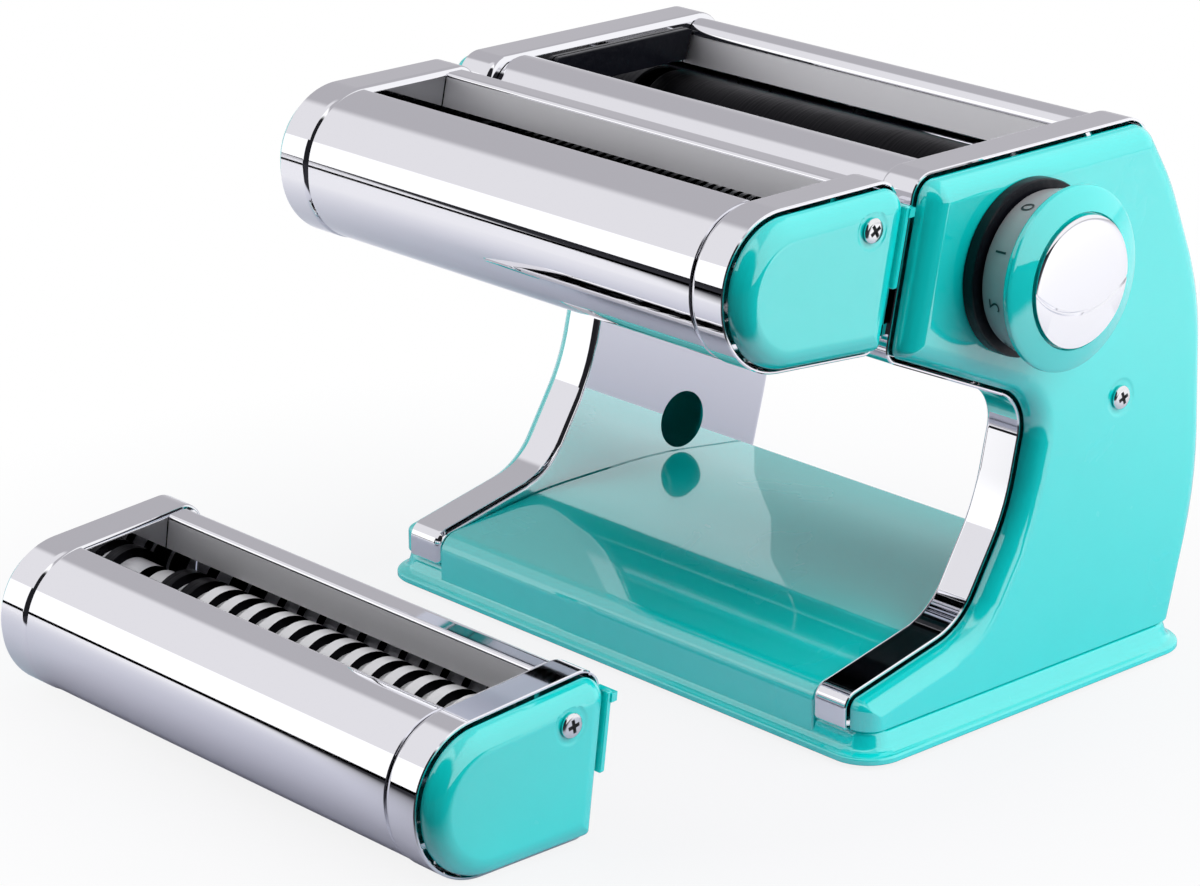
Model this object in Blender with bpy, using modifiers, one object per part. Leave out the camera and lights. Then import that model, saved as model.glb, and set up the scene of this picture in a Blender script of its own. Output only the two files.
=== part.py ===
"""A pasta machine with a fitted cutter head and a spare one.

World axes: +X to the machine's right, where the thickness dial is, +Y to the rear, +Z up.
The pieces are built round a point on the table under the middle of the base, and at the end
the whole set is moved so that the origin lies under the middle of its bounding box. Lengths
are in millimetres and are turned to metres where an object is made.
"""

from math import atan2, cos, pi, radians, sin, tan

import bmesh
import bpy
from mathutils import Matrix, Vector

MM = 0.001
GAP = 0.3  # running clearance between pieces that touch

# Stand, seen from the front
OPENING_HALF = 78.0  # from the middle to the web of a side frame
SHEET = 1.0  # wall of the chromed sheet
FRAME_DEPTH = 12.5  # from the web's inner face to the flange's rim
COVER_DEPTH = 6.6  # from the cover's edge to its face
COVER_SHOULDER = 6.2  # width of the rounded shoulder
COVER_WALL = 1.2
COVER_INSET = 1.7  # from the frame's outline to the cover's
COVER_LOW_INSET = 0.2  # the same along the bottom, where the cover meets the base

# Stand, seen from the right: heights and places from front to rear
FRAME_TOP = 159.6
FRAME_BOTTOM = 9.2
LEAN = radians(12.0)  # lean of the frame's front edge
FRAME_FRONT_TOP = -47.5  # where the front edge meets the top
HOUSING_LOW = 110.8  # height of the housing's front lower corner
FOOT_FRONT = -70.6
FOOT_HEIGHT = 19.0
THROAT = (-2.4, 86.9)  # deepest upper corner of the open throat
REAR_TOP = 41.8
REAR_BULGE = 71.5
REAR_FOOT = 59.9
REAR_SHOULDER_HEIGHT = 141.6
REAR_BULGE_HEIGHT = 107.0
REAR_LOW_HEIGHT = 48.0
FOOT_ARCH = (-26.6, 28.6)  # where the foot's top turns up into the leg
LEG_BEND = (-9.2, 57.0)

# Base
BASE_SHELF = 4.3  # how far the base stands out beyond the covers
BASE_FRONT = -73.0
BASE_REAR = 62.0
BASE_CORNER = 12.0
BASE_WALL = 1.4
LIP_HEIGHT = 2.2
DECK_TOP = 24.0
DECK_EDGE = 18.3
DECK_BEND = 6.0
FEET_HEIGHT = 1.2  # how far the rubber feet stand below the lip
FOOT_RADIUS = 8.0

# Sheet rollers
ROLLER_RADIUS = 16.0
ROLLER_HEIGHT = 129.2
DIAL_Y = -11.6  # the dial's axis, on which the eccentrics turn
ECCENTRICITY = 1.2
LEAST_GAP = 0.3  # gap of the rollers at the finest setting
SHAFT_RADIUS = 6.0
BUSH_RADIUS = 10.0
GEAR_TEETH = 16
GEAR_WIDTH = 6.0
TOOTH_DEPTH = 2.6

# Hopper of the sheet rollers
HOPPER_FRONT = -24.0
HOPPER_REAR = 31.5
HOPPER_ROLL = 4.6  # radius of the rolled rear edge
HOPPER_LIP_LOW = 143.0
GUARD_THICKNESS = 1.6
REAR_BEND_HEIGHT = 128.0
REAR_COVER_LOW = 96.0

# Thickness dial
DIAL_RADIUS = 25.5
DIAL_DEPTH = 12.2  # from the back of the knob to its widest edge
DIAL_CONE = 3.0  # rise of the coned ring from the rim to the cap
DIAL_STAND_OFF = 4.4  # from the cover to the back of the knob
DRUM_RADIUS = 22.0  # at the back of the tapered number drum
BOSS_RADIUS = 24.5
CAP_RADIUS = 18.1
CAP_HEIGHT = 1.4
DIAL_RECESS = 4.0  # depth of the knob's recess, which holds the cap
SPINDLE_RADIUS = 5.0

# Cutter head
HEAD_SHORTER = 1.0  # how much shorter than the stand's opening a head's shell is, at each end
HEAD_SHELL_HALF = OPENING_HALF - HEAD_SHORTER
HEAD_FRAME_DEPTH = FRAME_DEPTH - 0.5
HEAD_CAP_DEPTH = 5.4
HEAD_SHOULDER = 6.2
HEAD_GAP = 3.3  # from the frame's front edge to the head's rear edge, measured along Y
HEAD_TOP = 159.9
HEAD_ROUND = 22.0
HEAD_FRONT = -116.4
HEAD_LOW = 113.2
UNDERSIDE_RISE = 4.4  # how much higher the underside is at the front
HEAD_MOUTH_FRONT = -94.5
HEAD_MOUTH_REAR = -64.8
HEAD_ROLL = 4.0
HEAD_LIP_LOW = 149.6
CUTTER_HEIGHT = 136.0
CUTTER_FRONT = -92.0
FINE_RADIUS = 10.9
WIDE_RADIUS = 11.4
WIDE_CORE = 8.6
WIDE_PITCH = 8.8
CUTTER_SHAFT = 4.5

# Hooks and rails that hang the head
RAIL_WIDTH = 5.0
RAIL_LOW = 118.0
RAIL_HIGH = 149.0
RAIL_STAND_OFF = 1.9
RAIL_SHEET = 1.0
HOOK_SHEET = 1.2
TONGUE_LOW = 131.0
HEAD_SCREW = (-67.8, 149.7)

# Spare head: its middle on the table
SPARE_X = -11.5
SPARE_Y = -177.5

SCREW_HEAD = 4.2
SCREW_HEAD_HEIGHT = 1.2
SCREW_SHANK = 1.8

TEAL = (0.051, 0.678, 0.604)
CHROME = (0.86, 0.86, 0.89)
STEEL = (0.62, 0.63, 0.65)
DARK = (0.014, 0.016, 0.02)
BRASS = (0.72, 0.52, 0.23)


def clear_scene():
    for item in list(bpy.data.objects):
        bpy.data.objects.remove(item, do_unlink=True)
    for group in list(bpy.data.collections):
        bpy.data.collections.remove(group)


clear_scene()
machine = bpy.data.collections.new("pasta_machine")
bpy.context.scene.collection.children.link(machine)
cutters = bpy.data.collections.new("cutters")
cutters.hide_render = True
bpy.context.scene.collection.children.link(cutters)


def paint(item, colour, roughness, metallic):
    material = bpy.data.materials.new(item.name + "_finish")
    material.use_nodes = True
    shader = material.node_tree.nodes["Principled BSDF"]
    shader.inputs["Base Color"].default_value = (*colour, 1.0)
    shader.inputs["Roughness"].default_value = roughness
    shader.inputs["Metallic"].default_value = metallic
    material.diffuse_color = (*colour, 1.0)
    item.data.materials.clear()
    item.data.materials.append(material)


def enamel(item):
    paint(item, TEAL, 0.12, 0.0)


def chrome(item):
    paint(item, CHROME, 0.06, 1.0)


def steel(item):
    paint(item, STEEL, 0.25, 1.0)


def black_plastic(item):
    paint(item, DARK, 0.45, 0.0)


def brass(item):
    paint(item, BRASS, 0.3, 1.0)


def new_object(name, mesh, where=machine):
    item = bpy.data.objects.new(name, mesh)
    where.objects.link(item)
    return item


def finish_mesh(mesh, work):
    bmesh.ops.remove_doubles(work, verts=work.verts, dist=0.00002)
    bmesh.ops.recalc_face_normals(work, faces=work.faces)
    work.to_mesh(mesh)
    work.free()
    mesh.shade_smooth()
    mesh.set_sharp_from_angle(angle=radians(32))


def corner_points(before, corner, after, radius, steps):
    """The arc that rounds one corner of a polygon, as points from the first side to the second."""
    here = Vector(corner)
    first = (Vector(before) - here).normalized()
    second = (Vector(after) - here).normalized()
    half = first.angle(second) / 2
    shortest = min((Vector(before) - here).length, (Vector(after) - here).length)
    reach = min(radius / tan(half), 0.49 * shortest)
    fitted = reach * tan(half)
    middle = here + (first + second).normalized() * (fitted / sin(half))
    start = here + first * reach - middle
    end = here + second * reach - middle
    turn = atan2(start.x * end.y - start.y * end.x, start.dot(end))
    points = []
    for step in range(steps + 1):
        angle = turn * step / steps
        points.append((
            middle.x + start.x * cos(angle) - start.y * sin(angle),
            middle.y + start.x * sin(angle) + start.y * cos(angle),
        ))
    return points


def turn_at(corners, index):
    """Positive where a clockwise outline turns outwards, as at the throat of the frame."""
    a = Vector(corners[index - 1][:2])
    b = Vector(corners[index][:2])
    c = Vector(corners[(index + 1) % len(corners)][:2])
    return (b.x - a.x) * (c.y - b.y) - (b.y - a.y) * (c.x - b.x)


def moved_side(a, b, inset):
    """Two points of the side from a to b of a clockwise outline, moved inwards."""
    along = (Vector(b) - Vector(a)).normalized()
    inward = Vector((along.y, -along.x)) * inset
    return Vector(a) + inward, along


def outline(corners, inset=0.0, bottom_inset=None):
    """A clockwise polygon of (y, z, radius, steps) corners, rounded, and set in by a distance.

    The level side at the bottom may have a distance of its own.
    """
    count = len(corners)
    lowest = min(corner[1] for corner in corners)
    sides = []
    for i in range(count):
        here = corners[i][:2]
        ahead = corners[(i + 1) % count][:2]
        level = bottom_inset is not None and here[1] == lowest and ahead[1] == lowest
        sides.append(moved_side(here, ahead, bottom_inset if level else inset))
    sharp = []
    for index in range(count):
        point, along = sides[index - 1]
        other, heading = sides[index]
        cross = along.x * heading.y - along.y * heading.x
        offset = other - point
        share = (offset.x * heading.y - offset.y * heading.x) / cross
        sharp.append(point + along * share)
    points = []
    for index in range(count):
        radius, steps = corners[index][2:]
        outward = turn_at(corners, index) > 0
        fitted = radius + inset if outward else max(radius - inset, 0.5)
        points += corner_points(sharp[index - 1], sharp[index], sharp[(index + 1) % count], fitted, steps)
    return points


def loft(name, rings):
    """A closed body through rings of (x, points), with a face at each end."""
    work = bmesh.new()
    rows = []
    for x, points in rings:
        rows.append([work.verts.new((x * MM, y * MM, z * MM)) for y, z in points])
    count = len(rows[0])
    for low, high in zip(rows, rows[1:]):
        for i in range(count):
            j = (i + 1) % count
            work.faces.new((low[i], low[j], high[j], high[i]))
    work.faces.new(rows[0])
    work.faces.new(list(reversed(rows[-1])))
    mesh = bpy.data.meshes.new(name)
    finish_mesh(mesh, work)
    return new_object(name, mesh)


def flat_outline(name, loops, low, high):
    """A plate across X between two places, from closed loops of (y, z): its edge, then any holes."""
    curve = bpy.data.curves.new(name, "CURVE")
    curve.dimensions = "2D"
    curve.fill_mode = "BOTH"
    curve.extrude = (high - low) / 2 * MM
    for loop in loops:
        spline = curve.splines.new("POLY")
        spline.points.add(len(loop) - 1)
        for point, (y, z) in zip(spline.points, loop):
            point.co = (y * MM, z * MM, 0.0, 1.0)
        spline.use_cyclic_u = True
    guide = bpy.data.objects.new(name + "_outline", curve)
    machine.objects.link(guide)
    bpy.context.view_layer.update()
    mesh = bpy.data.meshes.new_from_object(guide.evaluated_get(bpy.context.evaluated_depsgraph_get()))
    bpy.data.objects.remove(guide, do_unlink=True)
    turned_over = Matrix(((0, 0, 1, 0), (1, 0, 0, 0), (0, 1, 0, 0), (0, 0, 0, 1)))
    mesh.transform(Matrix.Translation(((low + high) / 2 * MM, 0, 0)) @ turned_over)
    mesh.name = name
    work = bmesh.new()
    work.from_mesh(mesh)
    finish_mesh(mesh, work)
    return new_object(name, mesh)


def circle(centre, radius, steps=24):
    return [
        (centre[0] + radius * cos(2 * pi * i / steps), centre[1] + radius * sin(2 * pi * i / steps))
        for i in range(steps)
    ]


def sheet_section(points, thickness):
    """The edge of a bent sheet whose outer face follows the points; the wall lies to their right."""
    inner = []
    for index, point in enumerate(points):
        here = Vector(point)
        before = Vector(points[max(index - 1, 0)])
        after = Vector(points[min(index + 1, len(points) - 1)])
        one = (here - before).normalized() if index else (after - here).normalized()
        two = (after - here).normalized() if index < len(points) - 1 else one
        normal = Vector((one.y, -one.x)) + Vector((two.y, -two.x))
        normal.normalize()
        stretch = max(normal.dot(Vector((one.y, -one.x))), 0.4)
        inner.append(tuple(here + normal * (thickness / stretch)))
    return list(points) + inner[::-1]


def arc(centre, radius, start, end, steps):
    """Points on an arc between two angles in degrees, 0 to the rear and 90 up."""
    return [
        (
            centre[0] + radius * cos(radians(start + (end - start) * i / steps)),
            centre[1] + radius * sin(radians(start + (end - start) * i / steps)),
        )
        for i in range(steps + 1)
    ]


def turned(name, profile, place, steps=24, closed=False, where=machine):
    """A round piece about a line along X, from (x, radius) pairs, its right end first."""
    mesh = bpy.data.meshes.new(name)
    work = bmesh.new()
    verts = [work.verts.new((radius * MM, 0.0, x * MM)) for x, radius in profile]
    for a, b in zip(verts, verts[1:]):
        work.edges.new((a, b))
    if closed:
        work.edges.new((verts[-1], verts[0]))
    work.to_mesh(mesh)
    work.free()
    guide = bpy.data.objects.new(name + "_profile", mesh)
    where.objects.link(guide)
    spin = guide.modifiers.new("Spin", "SCREW")
    spin.steps = steps
    spin.render_steps = steps
    spin.use_merge_vertices = True
    spin.merge_threshold = 0.00005
    bpy.context.view_layer.update()
    solid = bpy.data.meshes.new_from_object(guide.evaluated_get(bpy.context.evaluated_depsgraph_get()))
    bpy.data.objects.remove(guide, do_unlink=True)
    solid.name = name
    to_x = Matrix(((0, 0, 1, 0), (1, 0, 0, 0), (0, 1, 0, 0), (0, 0, 0, 1)))
    solid.transform(to_x)
    work = bmesh.new()
    work.from_mesh(solid)
    finish_mesh(solid, work)
    item = new_object(name, solid, where)
    item.location = (0.0, place[0] * MM, place[1] * MM)
    return item


def box(name, low, high, where=machine):
    mesh = bpy.data.meshes.new(name)
    work = bmesh.new()
    bmesh.ops.create_cube(work, size=1.0)
    size = [(b - a) * MM for a, b in zip(low, high)]
    middle = [(a + b) / 2 * MM for a, b in zip(low, high)]
    bmesh.ops.scale(work, vec=size, verts=work.verts)
    bmesh.ops.translate(work, vec=middle, verts=work.verts)
    work.to_mesh(mesh)
    work.free()
    return new_object(name, mesh, where)


def combine(item, other, operation):
    """Cuts the other solid from the item or joins it on, and removes the other."""
    step = item.modifiers.new(operation.title(), "BOOLEAN")
    step.operation = operation
    step.object = other
    bpy.context.view_layer.update()
    mesh = bpy.data.meshes.new_from_object(item.evaluated_get(bpy.context.evaluated_depsgraph_get()))
    item.modifiers.remove(step)
    old = item.data
    item.data = mesh
    mesh.name = item.name
    bpy.data.meshes.remove(old)
    bpy.data.objects.remove(other, do_unlink=True)
    item.data.shade_smooth()
    item.data.set_sharp_from_angle(angle=radians(32))


def cut(item, other):
    combine(item, other, "DIFFERENCE")


def join(item, other):
    combine(item, other, "UNION")


def mirrored(item, name):
    """A left-hand copy of a right-hand piece, as a mesh of its own."""
    mesh = item.data.copy()
    mesh.name = name
    flip = Matrix.Scale(-1, 4, (1, 0, 0))
    mesh.transform(flip @ item.matrix_basis)
    mesh.flip_normals()
    return new_object(name, mesh)


# Outlines in the (y, z) plane, clockwise as seen from the right

def frame_corners():
    lean_run = tan(LEAN) * (FRAME_TOP - HOUSING_LOW)
    return [
        (FRAME_FRONT_TOP, FRAME_TOP, 7.5, 4),
        (REAR_TOP, FRAME_TOP, 9.0, 4),
        (REAR_TOP + 11.5, REAR_SHOULDER_HEIGHT, 60.0, 2),
        (REAR_BULGE - 3.8, REAR_BULGE_HEIGHT, 80.0, 2),
        (REAR_BULGE - 1.2, REAR_LOW_HEIGHT, 110.0, 2),
        (REAR_FOOT, FRAME_BOTTOM, 2.0, 2),
        (FOOT_FRONT, FRAME_BOTTOM, 1.5, 2),
        (FOOT_FRONT, FOOT_HEIGHT, 5.0, 4),
        (*FOOT_ARCH, 21.0, 4),
        (*LEG_BEND, 57.0, 3),
        (*THROAT, 12.0, 5),
        (FRAME_FRONT_TOP - lean_run, HOUSING_LOW, 5.0, 3),
    ]


def head_corners():
    rear_top = FRAME_FRONT_TOP - HEAD_GAP
    lean_run = tan(LEAN) * (HEAD_TOP - HEAD_LOW)
    return [
        (HEAD_FRONT, HEAD_TOP, HEAD_ROUND, 5),
        (rear_top, HEAD_TOP, 7.0, 4),
        (rear_top - lean_run, HEAD_LOW, 4.0, 3),
        (HEAD_FRONT, HEAD_LOW + UNDERSIDE_RISE, HEAD_ROUND, 5),
    ]


def pan(name, corners, web, depth, wall):
    """A pressed pan open to the right: a web and a flange that follows the outline."""
    inner = min(wall, depth / 2)
    return loft(name, [
        (web, outline(corners)),
        (web + depth, outline(corners)),
        (web + depth, outline(corners, inner)),
        (web + inner, outline(corners, inner)),
    ])


def shoulder_rings(corners, edge, depth, width, insets, steps):
    """Rings of a quarter-round shoulder, from the cover's edge to its face."""
    start, low = insets
    rings = []
    for step in range(steps + 1):
        angle = pi / 2 * step / steps
        inset = start + width * (1 - cos(angle))
        rings.append((edge + depth * sin(angle), outline(corners, inset, low)))
    return rings


def cover(name, corners, edge, depth, shoulder, wall):
    """An enamelled cover with a rounded shoulder, hollow on the side of the frame."""
    straight = 0.4
    insets = (COVER_INSET, COVER_LOW_INSET)
    inner_insets = (COVER_INSET + wall, COVER_LOW_INSET + wall)
    start = edge + straight
    outer = [(edge, outline(corners, *insets))]
    outer += shoulder_rings(corners, start, depth - straight, shoulder, insets, 3)
    inner = [(edge, outline(corners, *inner_insets))]
    inner += shoulder_rings(corners, start, depth - straight - wall, shoulder - wall, inner_insets, 2)
    return loft(name, list(reversed(outer)) + inner)


def round_cut(item, place, radius, low, high, steps=24):
    profile = [(high, 0), (high, radius), (low, radius), (low, 0)]
    cut(item, turned(item.name + "_hole", profile, place, steps, where=cutters))


FLANGE_EDGE = OPENING_HALF + FRAME_DEPTH
COVER_EDGE = FLANGE_EDGE + GAP
RAIL_EDGE = FLANGE_EDGE - 0.9
COVER_FACE = COVER_EDGE + COVER_DEPTH
BASE_HALF = COVER_FACE + BASE_SHELF
DIAL_BACK = COVER_FACE + DIAL_STAND_OFF
DIAL_RIM = DIAL_BACK + DIAL_DEPTH
DIAL_FACE = DIAL_RIM + DIAL_CONE
FRONT_ROLLER_Y = DIAL_Y - ECCENTRICITY
REAR_ROLLER_Y = DIAL_Y + ECCENTRICITY + 2 * ROLLER_RADIUS + LEAST_GAP
REAR_AXIS = (REAR_ROLLER_Y, ROLLER_HEIGHT)
FRONT_AXIS = (FRONT_ROLLER_Y, ROLLER_HEIGHT)
DIAL_AXIS = (DIAL_Y, ROLLER_HEIGHT)
ECCENTRIC_RADIUS = BUSH_RADIUS + ECCENTRICITY + 1.0
CLAMP_HOLE = (29.4, 32.0)
CLAMP_HOLE_RADIUS = 9.0
COVER_SCREW = (30.2, 82.4)
TIE_ROD = (46.0, 118.0)
TIE_ROD_RADIUS = 4.0


def front_edge(z, ahead=0.0):
    """Y of the housing's leaning front edge at a height."""
    return FRAME_FRONT_TOP - tan(LEAN) * (FRAME_TOP - z) - ahead / cos(LEAN)


def rear_edge(z):
    """Y of the frame's rear edge at a height, as straight runs between the outline's corners."""
    marks = [(corner[1], corner[0]) for corner in frame_corners()[1:6]]
    for (high, y_high), (low, y_low) in zip(marks, marks[1:]):
        if z >= low:
            return y_low + (y_high - y_low) * (z - low) / (high - low)
    return marks[-1][1]


def leaning_bar(name, low_z, high_z, near, far, x_low, x_high):
    """A bar along the leaning front edge, between two distances in front of it."""
    points = [
        (front_edge(low_z, near), low_z),
        (front_edge(high_z, near), high_z),
        (front_edge(high_z, far), high_z),
        (front_edge(low_z, far), low_z),
    ]
    return flat_outline(name, [points], x_low, x_high)


def side_frame():
    frame = pan("side_frame_right", frame_corners(), OPENING_HALF, FRAME_DEPTH, SHEET)
    rail_x = RAIL_EDGE
    back = RAIL_STAND_OFF
    front = back + RAIL_SHEET
    near = rail_x - RAIL_WIDTH
    join(frame, leaning_bar("rail", RAIL_LOW, RAIL_HIGH, back, front, near, rail_x))
    join(frame, leaning_bar("rail_foot", RAIL_LOW, RAIL_LOW + 3, -SHEET / 2, back + 0.5, near, rail_x))
    reach = (OPENING_HALF - 5, OPENING_HALF + 5)
    round_cut(frame, REAR_AXIS, BUSH_RADIUS + GAP, *reach)
    round_cut(frame, DIAL_AXIS, ECCENTRIC_RADIUS + GAP, *reach)
    round_cut(frame, TIE_ROD, SCREW_SHANK + GAP, *reach)
    return frame


def make_side_frames():
    right = side_frame()
    left = mirrored(right, "side_frame_left")
    round_cut(left, CLAMP_HOLE, CLAMP_HOLE_RADIUS, -OPENING_HALF - 5, -OPENING_HALF + 5, 28)
    chrome(right)
    chrome(left)


def make_side_covers():
    corners = frame_corners()
    right = cover("side_cover_right", corners, COVER_EDGE, COVER_DEPTH, COVER_SHOULDER, COVER_WALL)
    left = mirrored(right, "side_cover_left")
    reach = (COVER_FACE - 6, COVER_FACE + 5)
    far = (-COVER_FACE - 5, -COVER_FACE + 6)
    round_cut(right, COVER_SCREW, SCREW_SHANK + GAP, *reach, 12)
    round_cut(right, DIAL_AXIS, SPINDLE_RADIUS + 1.0, *reach)
    round_cut(left, COVER_SCREW, SCREW_SHANK + GAP, *far, 12)
    round_cut(left, REAR_AXIS, SHAFT_RADIUS + 1.5, *far)
    enamel(right)
    enamel(left)


def cross_recess(item, place, face, size, depth):
    """The cross of a screw head, cut into the face that looks to the right."""
    y, z = place
    for wide, tall in ((size, size / 3.6), (size / 3.6, size)):
        low = (face - depth, y - wide / 2, z - tall / 2)
        high = (face + 1, y + wide / 2, z + tall / 2)
        cut(item, box("recess", low, high, cutters))


def screw(name, place, seat, length):
    """A round-headed screw that points left, its head seated on a face that looks right."""
    head = SCREW_HEAD
    rise = SCREW_HEAD_HEIGHT
    profile = [
        (seat + rise, 0), (seat + rise, head * 0.45), (seat + rise * 0.8, head * 0.78),
        (seat + rise * 0.4, head * 0.96), (seat, head), (seat, SCREW_SHANK),
        (seat - length, SCREW_SHANK), (seat - length, 0),
    ]
    item = turned(name, profile, (0.0, 0.0), 14)
    cross_recess(item, (0.0, 0.0), seat + rise, head * 1.05, rise * 0.7)
    item.data.transform(Matrix.Translation((0, place[0] * MM, place[1] * MM)))
    steel(item)
    return item


def make_cover_screws():
    right = screw("cover_screw_right", COVER_SCREW, COVER_FACE + GAP, 6.0)
    steel(mirrored(right, "cover_screw_left"))


def make_base():
    def ring(inset, z):
        corners = [
            (BASE_FRONT, -BASE_HALF, BASE_CORNER, 5), (BASE_FRONT, BASE_HALF, BASE_CORNER, 5),
            (BASE_REAR, BASE_HALF, BASE_CORNER, 5), (BASE_REAR, -BASE_HALF, BASE_CORNER, 5),
        ]
        return [(x, y, z) for y, x in outline(corners, inset)]

    def tray(name, rows):
        work = bmesh.new()
        made = []
        for inset, height in rows:
            made.append([work.verts.new((x * MM, y * MM, z * MM)) for x, y, z in ring(inset, height)])
        count = len(made[0])
        for low, high in zip(made, made[1:]):
            for i in range(count):
                work.faces.new((low[i], low[(i + 1) % count], high[(i + 1) % count], high[i]))
        work.faces.new(made[0])
        work.faces.new(list(reversed(made[-1])))
        mesh = bpy.data.meshes.new(name)
        finish_mesh(mesh, work)
        return new_object(name, mesh)

    def deck_corners(inset):
        low = LIP_HEIGHT
        front = FOOT_FRONT + 0.8
        rear = REAR_FOOT - 1.0
        return outline([
            (front, low, 0.5, 1), (front, DECK_EDGE, DECK_BEND, 4), (-30.0, DECK_TOP - 0.7, 200.0, 3),
            (18.0, DECK_TOP - 0.4, 200.0, 3), (rear, DECK_EDGE, DECK_BEND, 4), (rear, low, 0.5, 1),
        ], inset)

    top = FRAME_BOTTOM - GAP
    foot = FEET_HEIGHT
    base = tray("base_plate", [
        (0.0, foot), (0.0, foot + LIP_HEIGHT - 0.8), (0.5, foot + LIP_HEIGHT), (2.2, foot + LIP_HEIGHT + 0.8),
        (3.6, foot + LIP_HEIGHT + 2.4), (4.2, top - 1.2), (5.2, top),
    ])
    deck_half = OPENING_HALF - GAP
    join(base, flat_outline("deck", [deck_corners(0.0)], -deck_half, deck_half))
    hollow = tray("hollow", [
        (BASE_WALL, foot - 3), (BASE_WALL, foot + LIP_HEIGHT - 1.4), (3.4, foot + LIP_HEIGHT - 0.2),
        (5.0, foot + LIP_HEIGHT + 1.6), (5.8, top - BASE_WALL),
    ])
    wall = BASE_WALL
    inner_deck = flat_outline("inner_deck", [deck_corners(wall)], -deck_half + wall, deck_half - wall)
    join(hollow, inner_deck)
    cut(base, hollow)
    enamel(base)


def make_feet():
    inset = 17.0
    height = FRAME_BOTTOM - GAP - BASE_WALL - GAP
    for side, x in (("left", -BASE_HALF + inset), ("right", BASE_HALF - inset)):
        for end, y in (("front", BASE_FRONT + inset), ("rear", BASE_REAR - inset)):
            profile = [
                (height, 0), (height, FOOT_RADIUS * 0.7), (2.0, FOOT_RADIUS), (0.6, FOOT_RADIUS),
                (0.0, FOOT_RADIUS - 0.8), (0.0, 0),
            ]
            foot = turned(f"foot_{end}_{side}", profile, (0.0, 0.0), 16)
            upright = Matrix.Rotation(-pi / 2, 4, "Y")
            foot.data.transform(Matrix.Translation((x * MM, y * MM, 0)) @ upright)
            black_plastic(foot)


def make_front_hood():
    """Inner lip of the hopper, a rounded top, and the front wall down to the housing's lower edge."""
    half = OPENING_HALF - GAP
    radius = 11.5
    middle = (HOPPER_FRONT - radius, FRAME_TOP - 0.6 - radius)
    low = HOUSING_LOW + 4.0
    points = [(HOPPER_FRONT, HOPPER_LIP_LOW + 3.0)]
    points += arc(middle, radius, 0, 180 - 12 * 0.5, 10)
    points += [(front_edge(middle[1] - 2, -1.0), middle[1] - 6), (front_edge(low, -1.4), low)]
    outer = [(y, z) for y, z in points]
    hood = flat_outline("front_hood", [sheet_section(outer[::-1], SHEET)], -half, half)
    chrome(hood)


def make_rear_cover():
    half = OPENING_HALF - GAP
    roll = (HOPPER_REAR + HOPPER_ROLL, FRAME_TOP - 1.2 - HOPPER_ROLL)
    points = [(HOPPER_REAR, HOPPER_LIP_LOW)]
    points += arc(roll, HOPPER_ROLL, 180, 55, 7)
    for height in (REAR_SHOULDER_HEIGHT, REAR_BEND_HEIGHT, REAR_BULGE_HEIGHT, REAR_COVER_LOW):
        points.append((rear_edge(height) - 2.5, height))
    rear = flat_outline("rear_cover", [sheet_section(points, SHEET)], -half, half)
    chrome(rear)


def make_hopper_guards():
    low = HOPPER_LIP_LOW + 4.0
    top = FRAME_TOP - 3.2
    points = [
        (HOPPER_FRONT + GAP, low), (HOPPER_FRONT + GAP, top - 1.5), (HOPPER_FRONT + 1.8, top),
        (HOPPER_REAR - 1.8, top), (HOPPER_REAR - GAP, top - 1.5), (HOPPER_REAR - GAP, low),
    ]
    high = OPENING_HALF - GAP
    right = flat_outline("hopper_guard_right", [points], high - GUARD_THICKNESS, high)
    black_plastic(right)
    black_plastic(mirrored(right, "hopper_guard_left"))


def gear_points(axis, tip, teeth, turn=0.0):
    points = []
    step = 2 * pi / teeth
    root = tip - TOOTH_DEPTH
    for tooth in range(teeth):
        middle = turn + tooth * step
        for share, radius in ((-0.36, root), (-0.2, tip), (0.2, tip), (0.36, root)):
            angle = middle + share * step
            points.append((axis[0] + radius * cos(angle), axis[1] + radius * sin(angle)))
    return points


GEAR_LEFT = -OPENING_HALF - SHEET - 1.2


def gear(name, axis, tip, teeth, bore, right_face):
    loops = [gear_points(axis, tip, teeth), circle(axis, bore, 14)]
    item = flat_outline(name, loops, right_face - GEAR_WIDTH, right_face)
    brass(item)
    return item


def hex_socket(item, axis, face, size, depth):
    """A hexagonal socket for the crank in the end of a shaft that looks left."""
    tool = flat_outline("socket", [circle(axis, size, 6)], face - 1, face + depth)
    cut(item, tool)


def make_sheet_rollers():
    barrel = OPENING_HALF - GUARD_THICKNESS - GAP - 1.0
    shoulder = OPENING_HALF - 0.8
    right_end = OPENING_HALF + SHEET + 2.5
    crank_end = -COVER_FACE + 1.0
    plain_end = GEAR_LEFT - GEAR_WIDTH - 1.0
    gear_seat = SHAFT_RADIUS - 1.0

    def roller(name, axis, left_end):
        profile = [
            (right_end, 0), (right_end, SHAFT_RADIUS), (shoulder, SHAFT_RADIUS), (shoulder, SHAFT_RADIUS + 2),
            (barrel, SHAFT_RADIUS + 2), (barrel, ROLLER_RADIUS), (-barrel, ROLLER_RADIUS),
            (-barrel, SHAFT_RADIUS + 2), (-shoulder, SHAFT_RADIUS + 2), (-shoulder, SHAFT_RADIUS),
            (GEAR_LEFT, SHAFT_RADIUS), (GEAR_LEFT, gear_seat), (left_end, gear_seat), (left_end, 0),
        ]
        item = turned(name, profile, axis, 22)
        steel(item)
        return item

    roller("front_roller", FRONT_AXIS, plain_end)
    rear = roller("rear_roller", REAR_AXIS, crank_end)
    hex_socket(rear, (0.0, 0.0), crank_end, SHAFT_RADIUS - 2.2, 9.0)
    spacing = REAR_ROLLER_Y - DIAL_Y - ECCENTRICITY
    tip = (spacing - GAP) / 2
    gear("front_roller_gear", FRONT_AXIS, tip, GEAR_TEETH, gear_seat + GAP / 2, GEAR_LEFT - GAP)
    gear("rear_roller_gear", REAR_AXIS, tip, GEAR_TEETH, gear_seat + GAP / 2, GEAR_LEFT - GAP)


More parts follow.
